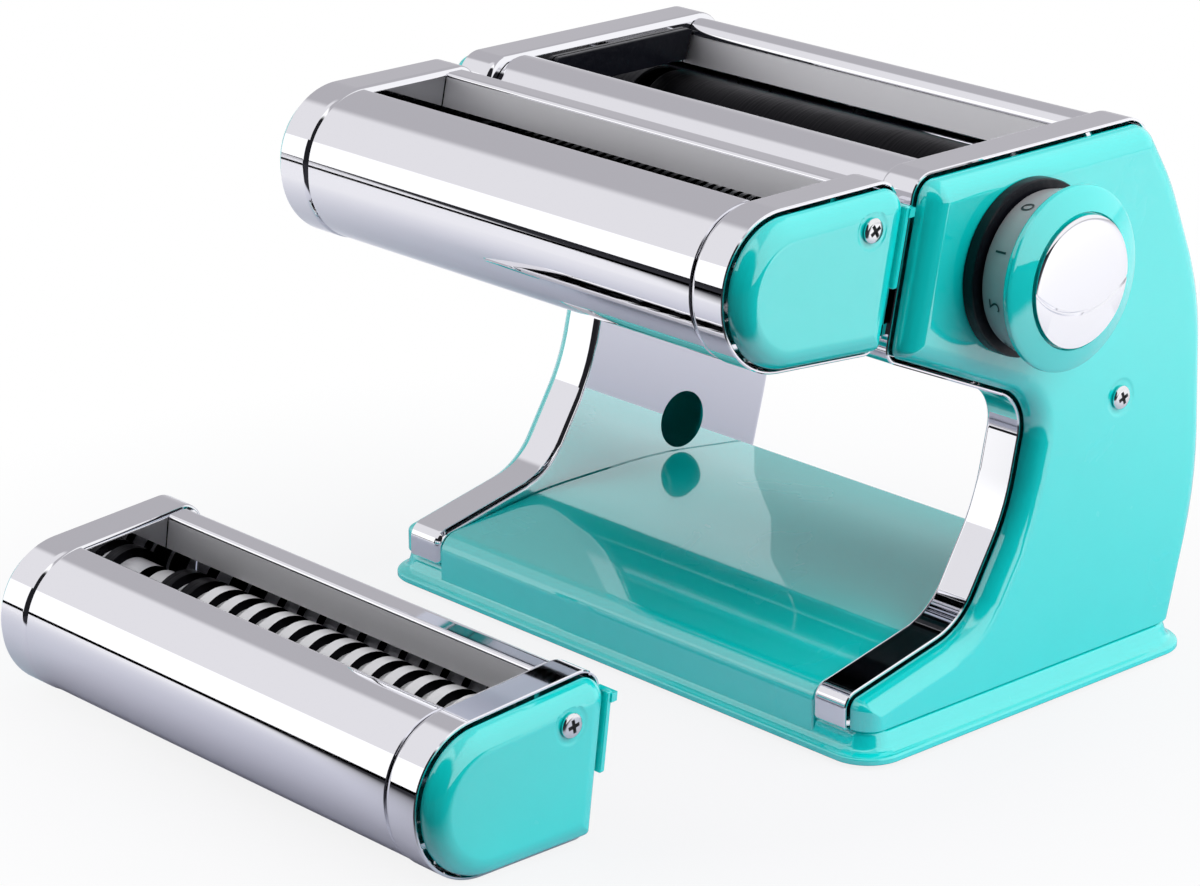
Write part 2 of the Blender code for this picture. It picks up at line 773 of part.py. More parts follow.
def make_bushes():
    low = OPENING_HALF - 0.5
    high = OPENING_HALF + SHEET + 0.8
    bore = SHAFT_RADIUS + GAP / 2
    ring = [
        (high, bore), (high, BUSH_RADIUS + 1.6), (OPENING_HALF + SHEET + 0.2, BUSH_RADIUS + 1.6),
        (OPENING_HALF + SHEET + 0.2, BUSH_RADIUS), (low, BUSH_RADIUS), (low, bore),
    ]
    right = turned("rear_bush_right", ring, REAR_AXIS, 18, closed=True)
    brass(right)
    brass(mirrored(right, "rear_bush_left"))


def make_eccentrics():
    low = OPENING_HALF - 0.5
    high = OPENING_HALF + SHEET + 0.8
    bore = circle(FRONT_AXIS, SHAFT_RADIUS + GAP / 2, 20)
    disc = circle(DIAL_AXIS, ECCENTRIC_RADIUS, 26)
    left = flat_outline("eccentric_left", [disc, bore], -high, -low)
    steel(left)
    cup = OPENING_HALF + SHEET + 3.2
    spindle_end = DIAL_FACE - DIAL_RECESS - 0.6
    right = turned("eccentric_right", [
        (spindle_end, 0), (spindle_end, SPINDLE_RADIUS - 1.4), (COVER_FACE + 3, SPINDLE_RADIUS - 1.4),
        (COVER_FACE + 3, SPINDLE_RADIUS), (cup + 2, SPINDLE_RADIUS), (cup + 2, ECCENTRIC_RADIUS),
        (low, ECCENTRIC_RADIUS), (low, 0),
    ], (0.0, 0.0), 26)
    right.data.transform(Matrix.Translation((0, DIAL_Y * MM, ROLLER_HEIGHT * MM)))
    round_cut(right, FRONT_AXIS, SHAFT_RADIUS + GAP / 2, low - 2, cup, 20)
    steel(right)


def make_dial():
    """The fixed boss on the cover, the knob with its number drum and coned ring, and the cap."""
    boss_low = COVER_FACE + GAP
    boss_high = DIAL_BACK - 0.6
    bore = SPINDLE_RADIUS + 0.8
    boss = turned("dial_boss", [
        (boss_high, bore), (boss_high, BOSS_RADIUS - 1), (boss_high - 1, BOSS_RADIUS),
        (boss_low, BOSS_RADIUS), (boss_low, bore),
    ], DIAL_AXIS, 24, closed=True)
    black_plastic(boss)
    hollow = DRUM_RADIUS - 4
    floor = DIAL_FACE - DIAL_RECESS
    pocket = CAP_RADIUS - 2.5
    hub = SPINDLE_RADIUS - 1.4 + GAP
    knob = turned("dial_knob", [
        (floor, hub), (floor, pocket), (DIAL_FACE, pocket), (DIAL_FACE, CAP_RADIUS + 0.4),
        (DIAL_RIM + 0.6, DIAL_RADIUS - 0.6), (DIAL_RIM - 0.4, DIAL_RADIUS), (DIAL_RIM - 1.6, DIAL_RADIUS),
        (DIAL_RIM - 2.6, DIAL_RADIUS - 1), (DIAL_BACK + 0.8, DRUM_RADIUS), (DIAL_BACK, DRUM_RADIUS - 0.8),
        (DIAL_BACK, hollow), (DIAL_BACK + 2, hollow), (DIAL_BACK + 2, hub),
    ], DIAL_AXIS, 32, closed=True)
    enamel(knob)
    seat = DIAL_FACE + GAP
    plug = floor + GAP
    rise = CAP_HEIGHT
    cap = turned("dial_cap", [
        (seat + rise, 0), (seat + rise * 0.94, CAP_RADIUS * 0.5), (seat + rise * 0.72, CAP_RADIUS * 0.86),
        (seat + rise * 0.4, CAP_RADIUS * 0.985), (seat + 0.4, CAP_RADIUS), (seat, CAP_RADIUS - 0.4),
        (seat, pocket - GAP), (plug, pocket - GAP), (plug, 0),
    ], DIAL_AXIS, 32)
    chrome(cap)


def make_dial_spring():
    """The spring that draws the knob back; it lies behind the cover, round the spindle."""
    turns = 3
    per_turn = 9
    low = OPENING_HALF + SHEET + 7.2
    high = COVER_FACE - COVER_WALL - 1.2
    count = turns * per_turn + 1
    curve = bpy.data.curves.new("dial_spring", "CURVE")
    curve.dimensions = "3D"
    curve.bevel_depth = 0.6 * MM
    curve.bevel_resolution = 1
    curve.use_fill_caps = True
    spline = curve.splines.new("POLY")
    spline.points.add(count - 1)
    radius = SPINDLE_RADIUS + 1.3
    for i in range(count):
        angle = 2 * pi * i / per_turn
        x = low + (high - low) * i / (count - 1)
        y = DIAL_Y + radius * cos(angle)
        z = ROLLER_HEIGHT + radius * sin(angle)
        spline.points[i].co = (x * MM, y * MM, z * MM, 1)
    spring = bpy.data.objects.new("dial_spring", curve)
    machine.objects.link(spring)
    material = bpy.data.materials.new("dial_spring_finish")
    curve.materials.append(material)


def make_tie_rod():
    half = OPENING_HALF - GAP
    profile = [(half, 0), (half, TIE_ROD_RADIUS), (-half, TIE_ROD_RADIUS), (-half, 0)]
    chrome(turned("tie_rod_rear", profile, TIE_ROD, 16))


def make_scrapers():
    """Strips below the rollers, held between the webs, with an edge close to the barrel."""
    half = OPENING_HALF - GAP
    for name, axis, side in (("front_scraper", FRONT_AXIS, -1), ("rear_scraper", REAR_AXIS, 1)):
        y, z = axis
        near = ROLLER_RADIUS + 0.9
        if side < 0:
            near += 2 * ECCENTRICITY
        edge = (y - side * near * sin(radians(28)), z - near * cos(radians(28)))
        strip = [
            edge, (edge[0] - side * 1.2, edge[1] - 1.2),
            (y + side * 2, z - near - 6), (y + side * 10, z - near - 6),
            (y + side * 10, z - near - 4.4), (y + side * 3.2, z - near - 4.4),
        ]
        strip = strip if side > 0 else strip[::-1]
        black_plastic(flat_outline(name, [strip], -half, half))


HEAD_FRAME_RIM = HEAD_SHELL_HALF + GAP + HEAD_FRAME_DEPTH
HEAD_CAP_EDGE = HEAD_FRAME_RIM + GAP
HEAD_CAP_FACE = HEAD_CAP_EDGE + HEAD_CAP_DEPTH
HEAD_WEB = HEAD_SHELL_HALF + GAP


def place_all(items, pose):
    for item in items:
        item.data.transform(pose @ item.matrix_basis)
        item.matrix_basis = Matrix.Identity(4)


def make_head(prefix, rear_y, cutter, pose):
    """One cutter head in the fitted place, then moved by the pose."""
    made = []
    corners = head_corners()
    front_axis = (CUTTER_FRONT, CUTTER_HEIGHT)
    rear_axis = (rear_y, CUTTER_HEIGHT)

    frame = pan(prefix + "end_frame_right", corners, HEAD_WEB, HEAD_FRAME_DEPTH, SHEET)
    for axis in (front_axis, rear_axis):
        round_cut(frame, axis, CUTTER_SHAFT + GAP, HEAD_WEB - 4, HEAD_WEB + 4, 20)
    left_frame = mirrored(frame, prefix + "end_frame_left")
    chrome(frame)
    chrome(left_frame)
    made += [frame, left_frame]

    name = prefix + "end_cap_right"
    cap = cover(name, corners, HEAD_CAP_EDGE, HEAD_CAP_DEPTH, HEAD_SHOULDER, COVER_WALL)
    screw_place = HEAD_SCREW
    clear = HEAD_GAP * cos(LEAN)
    tongue_edge = HEAD_CAP_EDGE + 0.4
    tongue_back = clear - 1.3
    tongue_front = clear + COVER_INSET + 1.5
    nib_low = RAIL_HIGH + 0.5
    nib_high = nib_low + 2.4
    lip_edge = RAIL_EDGE - 0.3
    lip_back = (RAIL_STAND_OFF - HOOK_SHEET) / 2
    outer = tongue_edge + 3.0
    inner = RAIL_EDGE - 3.4
    inset = 0.15
    join(cap, leaning_bar("tongue", TONGUE_LOW, nib_high + 0.6, tongue_back, tongue_front, tongue_edge, outer))
    nib_back = lip_back + inset
    hook = leaning_bar("nib", nib_low, nib_high, nib_back, tongue_back + 0.5, inner, outer - inset)
    lip_low = RAIL_HIGH - 12.0
    lip_front = lip_back + HOOK_SHEET
    lip = leaning_bar("lip", lip_low, nib_high - inset, lip_back, lip_front, inner + inset, lip_edge)
    join(hook, lip)
    join(cap, hook)
    round_cut(cap, screw_place, SCREW_SHANK + GAP, HEAD_CAP_FACE - 5, HEAD_CAP_FACE + 4, 12)
    left_cap = mirrored(cap, prefix + "end_cap_left")
    round_cut(left_cap, rear_axis, CUTTER_SHAFT + 1.2, -HEAD_CAP_FACE - 4, -HEAD_CAP_FACE + 5, 20)
    enamel(cap)
    enamel(left_cap)
    made += [cap, left_cap]

    right_screw = screw(prefix + "cap_screw_right", screw_place, HEAD_CAP_FACE + GAP, 5.0)
    left_screw = mirrored(right_screw, prefix + "cap_screw_left")
    steel(left_screw)
    made += [right_screw, left_screw]

    half = HEAD_SHELL_HALF
    steps = 8
    ring = outline([(*corner[:3], steps) for corner in corners], GAP)
    low_arc = ring[-steps - 1:]
    end_y = HEAD_MOUTH_FRONT + 9.0
    slope = UNDERSIDE_RISE / (HEAD_FRONT - corners[2][0])
    mouth = HEAD_MOUTH_FRONT + 0.6
    points = [(end_y, low_arc[0][1] + slope * (end_y - low_arc[0][0]))] + low_arc + ring[:steps + 1]
    points += [(mouth, HEAD_TOP - 1.6), (mouth, HEAD_TOP - 4.2)]
    shell = flat_outline(prefix + "front_shell", [sheet_section(points, SHEET)], -half, half)
    chrome(shell)
    made.append(shell)

    roll = (HEAD_MOUTH_REAR + HEAD_ROLL, HEAD_TOP - 0.8 - HEAD_ROLL)
    rear_top = FRAME_FRONT_TOP - HEAD_GAP - 1.0
    run = tan(LEAN)
    points = [(HEAD_MOUTH_REAR, HEAD_LIP_LOW)]
    points += arc(roll, HEAD_ROLL, 180, 20, 7)
    for height in (roll[1] - 2.0, HEAD_LOW + 6.0):
        points.append((rear_top - run * (HEAD_TOP - height), height))
    back = flat_outline(prefix + "back_plate", [sheet_section(points, SHEET)], -half, half)
    chrome(back)
    made.append(back)

    barrel = HEAD_SHELL_HALF - 2.0
    right_end = HEAD_WEB + SHEET + 3.0
    gear_face = -HEAD_WEB - SHEET - 1.0
    gear_seat = CUTTER_SHAFT - 0.8

    def roll_profile(crank, offset):
        left_end = -HEAD_CAP_FACE + 1.5 if crank else gear_face - GEAR_WIDTH - 0.6
        profile = [(right_end, 0), (right_end, CUTTER_SHAFT), (barrel, CUTTER_SHAFT)]
        profile += cutter(barrel, offset)
        profile += [
            (-barrel, CUTTER_SHAFT), (gear_face, CUTTER_SHAFT), (gear_face, gear_seat),
            (left_end, gear_seat), (left_end, 0),
        ]
        return profile, left_end

    profile, _ = roll_profile(False, 0.0)
    front = turned(prefix + "front_cutter", profile, front_axis, 12)
    profile, end = roll_profile(True, 0.5)
    rear = turned(prefix + "rear_cutter", profile, rear_axis, 12)
    hex_socket(rear, (0.0, 0.0), end, CUTTER_SHAFT - 1.6, 8.0)
    for item in (front, rear):
        steel(item)
    made += [front, rear]

    tip = (rear_y - CUTTER_FRONT - GAP) / 2
    for name, axis in (("front_gear", front_axis), ("rear_gear", rear_axis)):
        made.append(gear(prefix + name, axis, tip, 12, gear_seat + GAP / 2, gear_face - GAP))

    for name, side, axis in (("front_comb", -1, front_axis), ("rear_comb", 1, rear_axis)):
        y, z = axis
        reach = 12.4
        strip = [
            (y - side * 1.0, z - reach), (y + side * 6.0, z - reach - 1.5), (y + side * 6.0, z - reach - 2.9),
            (y - side * 1.0, z - reach - 1.4),
        ]
        strip = strip if side > 0 else strip[::-1]
        comb = flat_outline(prefix + name, [strip], -half, half)
        steel(comb)
        made.append(comb)

    place_all(made, pose)


def fine_cutter(barrel, offset):
    """Fine teeth, kept as a plain barrel of the teeth's outer radius."""
    return [(barrel, FINE_RADIUS), (-barrel, FINE_RADIUS)]


def wide_cutter(barrel, offset):
    """Rings a strand apart, which run in the grooves of the other roll."""
    ring = WIDE_PITCH / 2 - GAP
    count = int((2 * barrel - WIDE_PITCH) / WIDE_PITCH)
    start = count * WIDE_PITCH / 2 - offset * WIDE_PITCH
    points = [(barrel, WIDE_CORE)]
    for i in range(count):
        middle = start - i * WIDE_PITCH
        points += [
            (middle + ring / 2, WIDE_CORE), (middle + ring / 2, WIDE_RADIUS),
            (middle - ring / 2, WIDE_RADIUS), (middle - ring / 2, WIDE_CORE),
        ]
    points.append((-barrel, WIDE_CORE))
    return points


def spare_pose():
    """Turns the head about X until its sloping underside is level, and sets it on the table."""
    corners = head_corners()
    rear_low, front_low = corners[2], corners[3]
    tilt = atan2(front_low[1] - rear_low[1], rear_low[0] - front_low[0])
    middle_y = (HEAD_FRONT + FRAME_FRONT_TOP - HEAD_GAP) / 2
    middle_z = (HEAD_TOP + HEAD_LOW) / 2
    heights = [(z - middle_z) * cos(tilt) + (y - middle_y) * sin(tilt) for y, z in outline(corners)]
    lift = -min(heights)
    to_middle = Matrix.Translation((0, -middle_y * MM, -middle_z * MM))
    turn = Matrix.Rotation(tilt, 4, "X")
    return Matrix.Translation((SPARE_X * MM, SPARE_Y * MM, lift * MM)) @ turn @ to_middle


make_base()
make_feet()
make_side_frames()
make_side_covers()
make_cover_screws()
make_front_hood()
make_rear_cover()
make_hopper_guards()
make_sheet_rollers()
make_bushes()
make_eccentrics()
make_dial()
make_dial_spring()
make_tie_rod()
make_scrapers()
make_head("head_", CUTTER_FRONT + 2 * FINE_RADIUS + GAP, fine_cutter, Matrix.Identity(4))
make_head("spare_", CUTTER_FRONT + WIDE_RADIUS + WIDE_CORE + GAP, wide_cutter, spare_pose())


def centre_on_origin():
    """Moves every piece alike, so that the origin lies under the middle of the set's box."""
    bpy.context.view_layer.update()
    graph = bpy.context.evaluated_depsgraph_get()
    corners = []
    for item in machine.objects:
        seen = item.evaluated_get(graph)
        places = [seen.matrix_world @ vertex.co for vertex in seen.to_mesh().vertices]
        seen.to_mesh_clear()
        for pick in (min, max):
            corners.append((pick(p.x for p in places), pick(p.y for p in places)))
    middle_x = (min(x for x, y in corners) + max(x for x, y in corners)) / 2
    middle_y = (min(y for x, y in corners) + max(y for x, y in corners)) / 2
    for item in machine.objects:
        item.location.x -= middle_x
        item.location.y -= middle_y


centre_on_origin()
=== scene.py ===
# %% [markdown]
# # A pasta machine in teal enamel and mirror chrome
# The machine is a C-shaped stand with two sheet rollers, a thickness dial and a cutter head
# hung on its front. A second cutter head lies beside it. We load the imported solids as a
# frame, which fixes every size and every joint, and then dress them with finer pieces.

from math import atan2, ceil, cos, degrees, pi, radians, sin, tan

import bmesh
import bpy
from mathutils import Matrix, Vector


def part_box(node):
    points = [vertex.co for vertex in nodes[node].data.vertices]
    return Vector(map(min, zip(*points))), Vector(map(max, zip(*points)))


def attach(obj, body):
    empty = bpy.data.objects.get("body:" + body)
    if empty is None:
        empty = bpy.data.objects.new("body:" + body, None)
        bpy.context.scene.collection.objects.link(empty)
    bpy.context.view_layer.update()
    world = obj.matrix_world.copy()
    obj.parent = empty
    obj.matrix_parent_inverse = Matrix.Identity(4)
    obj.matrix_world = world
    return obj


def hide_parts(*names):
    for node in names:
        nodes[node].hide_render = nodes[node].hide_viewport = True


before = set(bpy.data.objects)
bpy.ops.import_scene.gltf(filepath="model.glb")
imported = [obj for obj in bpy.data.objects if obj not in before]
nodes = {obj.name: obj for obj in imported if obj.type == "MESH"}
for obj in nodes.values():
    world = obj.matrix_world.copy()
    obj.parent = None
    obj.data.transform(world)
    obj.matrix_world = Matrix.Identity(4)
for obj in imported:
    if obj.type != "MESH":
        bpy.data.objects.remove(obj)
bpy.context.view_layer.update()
print("nodes", len(nodes))

# %% [markdown]
# ## Where things are
# The solids were drawn in millimetres round a point under the base, and then moved as one
# so that the origin lies under the middle of the whole set. We read that move back from
# the base plate, so that every later number can stay in the drawing's own millimetres.

# %% The drawing's place in the frame
BASE_HALF = 101.7
BASE_FRONT = -73.0
BASE_REAR = 62.0
base_low, base_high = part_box("base_plate")
shift_x = (base_low.x + base_high.x) / 2
shift_y = (base_low.y + base_high.y) / 2 - (BASE_FRONT + BASE_REAR) / 2000
to_frame = Matrix.Translation((shift_x, shift_y, 0)) @ Matrix.Scale(0.001, 4)
print("drawing moved by", round(shift_x * 1000, 2), round(shift_y * 1000, 2), "mm")

# %% [markdown]
# ## The camera
# A long lens about 1.2 m away looks down at the right front corner. Two turns and a
# distance give its place, and a third, tiny turn levels the picture.

# %% Camera
CAMERA_YAW = 0.83078
CAMERA_PITCH = 0.33818
CAMERA_ROLL = -0.00375
CAMERA_SIDEWAYS = -56.608
CAMERA_UP = 48.301
CAMERA_DISTANCE = 1220.88
FOCAL_PIXELS = 4131.86
PICTURE_WIDTH = 1200

back = Vector((
    sin(CAMERA_YAW) * cos(CAMERA_PITCH), -cos(CAMERA_YAW) * cos(CAMERA_PITCH), sin(CAMERA_PITCH)
))
level_right = Vector((cos(CAMERA_YAW), sin(CAMERA_YAW), 0.0))
level_up = back.cross(level_right)
right = level_right * cos(CAMERA_ROLL) + level_up * sin(CAMERA_ROLL)
up = level_up * cos(CAMERA_ROLL) - level_right * sin(CAMERA_ROLL)
place = right * CAMERA_SIDEWAYS + up * CAMERA_UP + back * CAMERA_DISTANCE
lens = bpy.data.cameras.new("photo_camera")
lens.sensor_width = 36.0
lens.lens = FOCAL_PIXELS / PICTURE_WIDTH * lens.sensor_width
lens.clip_start = 0.05
lens.clip_end = 50.0
camera = bpy.data.objects.new("photo_camera", lens)
bpy.context.scene.collection.objects.link(camera)
turn = Matrix((right, up, back)).transposed().to_4x4()
camera.matrix_world = Matrix.Translation(to_frame @ place) @ turn
bpy.context.scene.camera = camera
print("lens", round(lens.lens, 1), "mm")

# %% [markdown]
# ## Shared finish effects
# Real surfaces are never perfectly even. Three small node groups give that unevenness: a
# ripple, which is the orange peel of enamel or the pores of plastic by its scale, the
# grinding lines of a roller, and soft wiped marks that change the gloss. Each is built once
# and placed in each material with its own sizes.

# %% Node helpers
SOCKETS = {float: "NodeSocketFloat", int: "NodeSocketInt", tuple: "NodeSocketVector"}


def add_node(tree, kind, values=None, **settings):
    """A node with its settings made and its sockets filled in."""
    node = tree.nodes.new(kind)
    for label, value in settings.items():
        setattr(node, label, value)
    for label, value in (values or {}).items():
        node.inputs[label].default_value = value
    return node


def add_inputs(tree, inputs):
    """Named inputs. A value gives its own kind of socket, or a text names the kind."""
    for label, value in inputs.items():
        kind = value if isinstance(value, str) else SOCKETS[type(value)]
        socket = tree.interface.new_socket(name=label, in_out="INPUT", socket_type=kind)
        if kind != value:
            socket.default_value = value


def wire(tree, *links):
    for source, output, target, entry in links:
        tree.links.new(source.outputs[output], target.inputs[entry])


def new_group(name, inputs, outputs):
    group = bpy.data.node_groups.new(name, "ShaderNodeTree")
    add_inputs(group, inputs)
    for label, kind in outputs.items():
        group.interface.new_socket(name=label, in_out="OUTPUT", socket_type=kind)
    start, end = (add_node(group, kind) for kind in ("NodeGroupInput", "NodeGroupOutput"))
    return group, start, end, add_node(group, "ShaderNodeTexCoord")


NORMAL_AND_MASK = {"Normal": "NodeSocketVector", "Mask": "NodeSocketFloat"}


# %% Ripple: one noise, as a bumped normal and as a mask
def build_ripple():
    group, start, end, spot = new_group(
        "surface_ripple", {"Scale": 60.0, "Strength": 0.05, "Distance": 0.001}, NORMAL_AND_MASK
    )
    noise = add_node(group, "ShaderNodeTexNoise", {"Detail": 3.0})
    bump = add_node(group, "ShaderNodeBump")
    wire(
        group,
        (spot, "Object", noise, "Vector"), (start, "Scale", noise, "Scale"),
        (noise, "Fac", bump, "Height"), (start, "Strength", bump, "Strength"),
        (start, "Distance", bump, "Distance"), (bump, "Normal", end, "Normal"),
        (noise, "Fac", end, "Mask"),
    )
    return group


# %% Wiped marks: a value between two roughnesses
def build_wiped():
    group, start, end, spot = new_group(
        "wiped_marks", {"Scale": 30.0, "Clean": 0.05, "Dull": 0.1},
        {"Roughness": "NodeSocketFloat"},
    )
    noise = add_node(group, "ShaderNodeTexNoise", {"Detail": 4.0, "Distortion": 0.6})
    span = add_node(group, "ShaderNodeMapRange", {"From Min": 0.4, "From Max": 0.75})
    wire(
        group,
        (spot, "Object", noise, "Vector"), (start, "Scale", noise, "Scale"),
        (noise, "Fac", span, "Value"), (start, "Clean", span, "To Min"),
        (start, "Dull", span, "To Max"), (span, "Result", end, "Roughness"),
    )
    return group


# %% Grinding lines round a shaft: noise that changes along the X axis alone
def build_grinding():
    group, start, end, spot = new_group(
        "grinding_lines", {"Lines": 900.0, "Strength": 0.2}, NORMAL_AND_MASK
    )
    split = add_node(group, "ShaderNodeSeparateXYZ")
    noise = add_node(group, "ShaderNodeTexNoise", noise_dimensions="1D")
    noise.inputs["Detail"].default_value = 5.0
    noise.inputs["Scale"].default_value = 1.0
    times = add_node(group, "ShaderNodeMath", operation="MULTIPLY")
    bump = add_node(group, "ShaderNodeBump", {"Distance": 0.0004})
    wire(
        group,
        (spot, "Object", split, "Vector"), (split, "X", times, 0), (start, "Lines", times, 1),
        (times, "Value", noise, "W"), (noise, "Fac", bump, "Height"),
        (start, "Strength", bump, "Strength"), (bump, "Normal", end, "Normal"),
        (noise, "Fac", end, "Mask"),
    )
    return group


ripple, wiped, grinding = build_ripple(), build_wiped(), build_grinding()
print("finish groups", [group.name for group in (ripple, wiped, grinding)])

# %% [markdown]
# ## The materials
# Enamel is a coloured layer under clear gloss, so it gets a coat. Chrome is a metal with
# almost no colour and almost no roughness, and shows the studio. The sheet rollers, the cutter
# cores and most cutter ring faces are ground steel painted near black, a painted shade for the
# deep hopper and the gaps between rings. The guards and the dial's foot are moulded black
# plastic; the foot's wide black is also painted shade behind the knob, and a black disc in each
# screw's cross is painted shade on its floor. The hidden gears are brass.

# %% Material helpers
COAT_ROUGHNESS = 0.04


def new_material(name, colour, metallic, coat=0.0, specular=0.5, coat_ior=1.5):
    material = bpy.data.materials.new(name)
    material.use_nodes = True
    shader = material.node_tree.nodes["Principled BSDF"]
    for label, value in {
        "Base Color": (*colour, 1.0), "Metallic": metallic, "Coat Weight": coat,
        "Coat Roughness": COAT_ROUGHNESS, "Coat IOR": coat_ior, "Specular IOR Level": specular,
    }.items():
        shader.inputs[label].default_value = value
    material.diffuse_color = (*colour, 1.0)
    return material, material.node_tree, shader


def add_group(tree, group, **values):
    return add_node(tree, "ShaderNodeGroup", values, node_tree=group)


def add_finish(tree, shader, skin, gloss):
    """Feeds a skin's normal and a gloss's roughness to the shader."""
    wire(tree, (gloss, "Roughness", shader, "Roughness"), (skin, "Normal", shader, "Normal"))


# %% Teal enamel
def make_enamel():
    material, tree, shader = new_material("teal_enamel", (0.002, 0.82, 0.785), 0.0, 1.0, 0.1, 2.4)
    peel = add_group(tree, ripple, Scale=70.0, Strength=0.035, Distance=0.0012)
    gloss = add_group(tree, wiped, Scale=26.0, Clean=0.22, Dull=0.3)
    tint = add_node(tree, "ShaderNodeMix", data_type="RGBA")
    tint.inputs[6].default_value = (0.001, 0.805, 0.77, 1.0)
    tint.inputs[7].default_value = (0.004, 0.835, 0.80, 1.0)
    wire(tree, (peel, "Mask", tint, 0), (tint, 2, shader, "Base Color"))
    add_finish(tree, shader, peel, gloss)
    return material


# %% Mirror chrome
def make_chrome(name="mirror_chrome", colour=(0.93, 0.93, 0.955), clean=0.025, dull=0.05):
    material, tree, shader = new_material(name, colour, 1.0)
    wave = add_group(tree, ripple, Scale=9.0, Strength=0.02, Distance=0.002)
    add_finish(tree, shader, wave, add_group(tree, wiped, Scale=20.0, Clean=clean, Dull=dull))
    return material


# %% Ground steel, bright and dark
def make_steel(name, colour, clean, dull, lines=900.0, strength=0.25):
    material, tree, shader = new_material(name, colour, 1.0)
    cut_lines = add_group(tree, grinding, Lines=lines, Strength=strength)
    add_finish(tree, shader, cut_lines, add_group(tree, wiped, Scale=50.0, Clean=clean, Dull=dull))
    return material


# %% Moulded plastic, rubber and other finishes without a metal's tint
def make_plastic(name, colour, clean, dull, pores, strength, specular=0.5):
    material, tree, shader = new_material(name, colour, 0.0, 0.0, specular)
    skin = add_group(tree, ripple, Scale=pores, Strength=strength, Distance=0.0008)
    add_finish(tree, shader, skin, add_group(tree, wiped, Scale=40.0, Clean=clean, Dull=dull))
    return material


# %% Build the finishes
enamel = make_enamel()
chrome = make_chrome()
steel = make_steel("ground_steel", (0.78, 0.78, 0.8), 0.16, 0.26)
# Steel painted near black: painted shade on the sheet rollers and in the cutter gaps.
shade_steel = make_steel("blackened_steel", (0.008, 0.008, 0.01), 0.35, 0.5)
satin = make_steel("satin_sheet", (0.97, 0.97, 0.985), 0.5, 0.52, 300.0, 0.02)
ring_steel = make_plastic("bright_ring", (0.88, 0.88, 0.89), 0.16, 0.24, 500.0, 0.02)
screw_steel = make_chrome("screw_steel", (0.86, 0.86, 0.87), 0.1, 0.18)
drum_metal = make_plastic("drum_silver", (0.42, 0.42, 0.43), 0.3, 0.4, 300.0, 0.05)
# Black moulding. The disc in each screw's cross is painted shade, and the dial's foot is partly
# painted shade.
black_plastic_and_shade = make_plastic("black_moulding", (0.004, 0.0045, 0.008), 0.3, 0.42, 260.0, 0.3, 0.3)
rubber = make_plastic("black_rubber", (0.02, 0.02, 0.021), 0.7, 0.85, 400.0, 0.4)
brass = make_steel("gear_brass", (0.72, 0.52, 0.23), 0.25, 0.35)
number_ink = make_plastic("number_ink", (0.01, 0.01, 0.012), 0.35, 0.45, 200.0, 0.05)
print("materials", len(bpy.data.materials))

# %% [markdown]
# ## Drawing helpers
# Most pieces of this machine are pressed sheet whose edge follows one outline in the side
# view. So the outline is drawn once, as corners with radii, and set in by a distance where
# a shoulder or a wall needs it. A loft through such outlines makes a pan or a cover.

# %% Rounded outlines
ARC_STEP = radians(4.0)


def side_of(a, b, inset):
    along = (Vector(b) - Vector(a)).normalized()
    return Vector(a) + Vector((along.y, -along.x)) * inset, along


def corner_arc(before, corner, after, radius):
    first = (before - corner).normalized()
    second = (after - corner).normalized()
    half = first.angle(second) / 2
    shortest = min((before - corner).length, (after - corner).length)
    reach = min(radius / tan(half), 0.49 * shortest)
    fitted = reach * tan(half)
    middle = corner + (first + second).normalized() * (fitted / sin(half))
    start = corner + first * reach - middle
    end = corner + second * reach - middle
    sweep = atan2(start.x * end.y - start.y * end.x, start.dot(end))
    steps = max(3, ceil((pi - 2 * half) / ARC_STEP - 0.01))
    return [
        (
            middle.x + start.x * cos(sweep * i / steps) - start.y * sin(sweep * i / steps),
            middle.y + start.x * sin(sweep * i / steps) + start.y * cos(sweep * i / steps),
        )
        for i in range(steps + 1)
    ]


def outline(corners, inset=0.0, bottom_inset=None):
    """A clockwise polygon of (y, z, radius) corners, rounded, and set in by a distance."""
    count = len(corners)
    lowest = min(corner[1] for corner in corners)
    sides = []
    for i in range(count):
        here, ahead = corners[i][:2], corners[(i + 1) % count][:2]
        level = bottom_inset is not None and here[1] == lowest and ahead[1] == lowest
        sides.append(side_of(here, ahead, bottom_inset if level else inset))
    sharp = []
    for i in range(count):
        point, along = sides[i - 1]
        other, heading = sides[i]
        gap = other - point
        share = gap.x * heading.y - gap.y * heading.x
        share /= along.x * heading.y - along.y * heading.x
        sharp.append(point + along * share)
    points = []
    for i in range(count):
        a, b, c = (Vector(corners[k % count][:2]) for k in (i - 1, i, i + 1))
        outward = (b.x - a.x) * (c.y - b.y) - (b.y - a.y) * (c.x - b.x) > 0
        radius = corners[i][2]
        fitted = radius + inset if outward else max(radius - inset, 0.4)
        points += corner_arc(sharp[i - 1], sharp[i], sharp[(i + 1) % count], fitted)
    return points


# %% From points to a smooth, closed mesh
SAME_PLACE = 0.002


def smooth(mesh, angle=30):
    mesh.shade_smooth()
    mesh.set_sharp_from_angle(angle=radians(angle))


def mesh_of(work, name):
    mesh = bpy.data.meshes.new(name)
    work.to_mesh(mesh)
    work.free()
    return mesh


def add_object(name, data):
    thing = bpy.data.objects.new(name, data)
    bpy.context.scene.collection.objects.link(thing)
    return thing


def new_piece(name, mesh, material):
    mesh.materials.clear()
    mesh.materials.append(material)
    return add_object(name, mesh)


def finished(name, work, material):
    bmesh.ops.remove_doubles(work, verts=work.verts, dist=SAME_PLACE)
    bmesh.ops.recalc_face_normals(work, faces=work.faces)
    mesh = mesh_of(work, name)
    smooth(mesh)
    return new_piece(name, mesh, material)


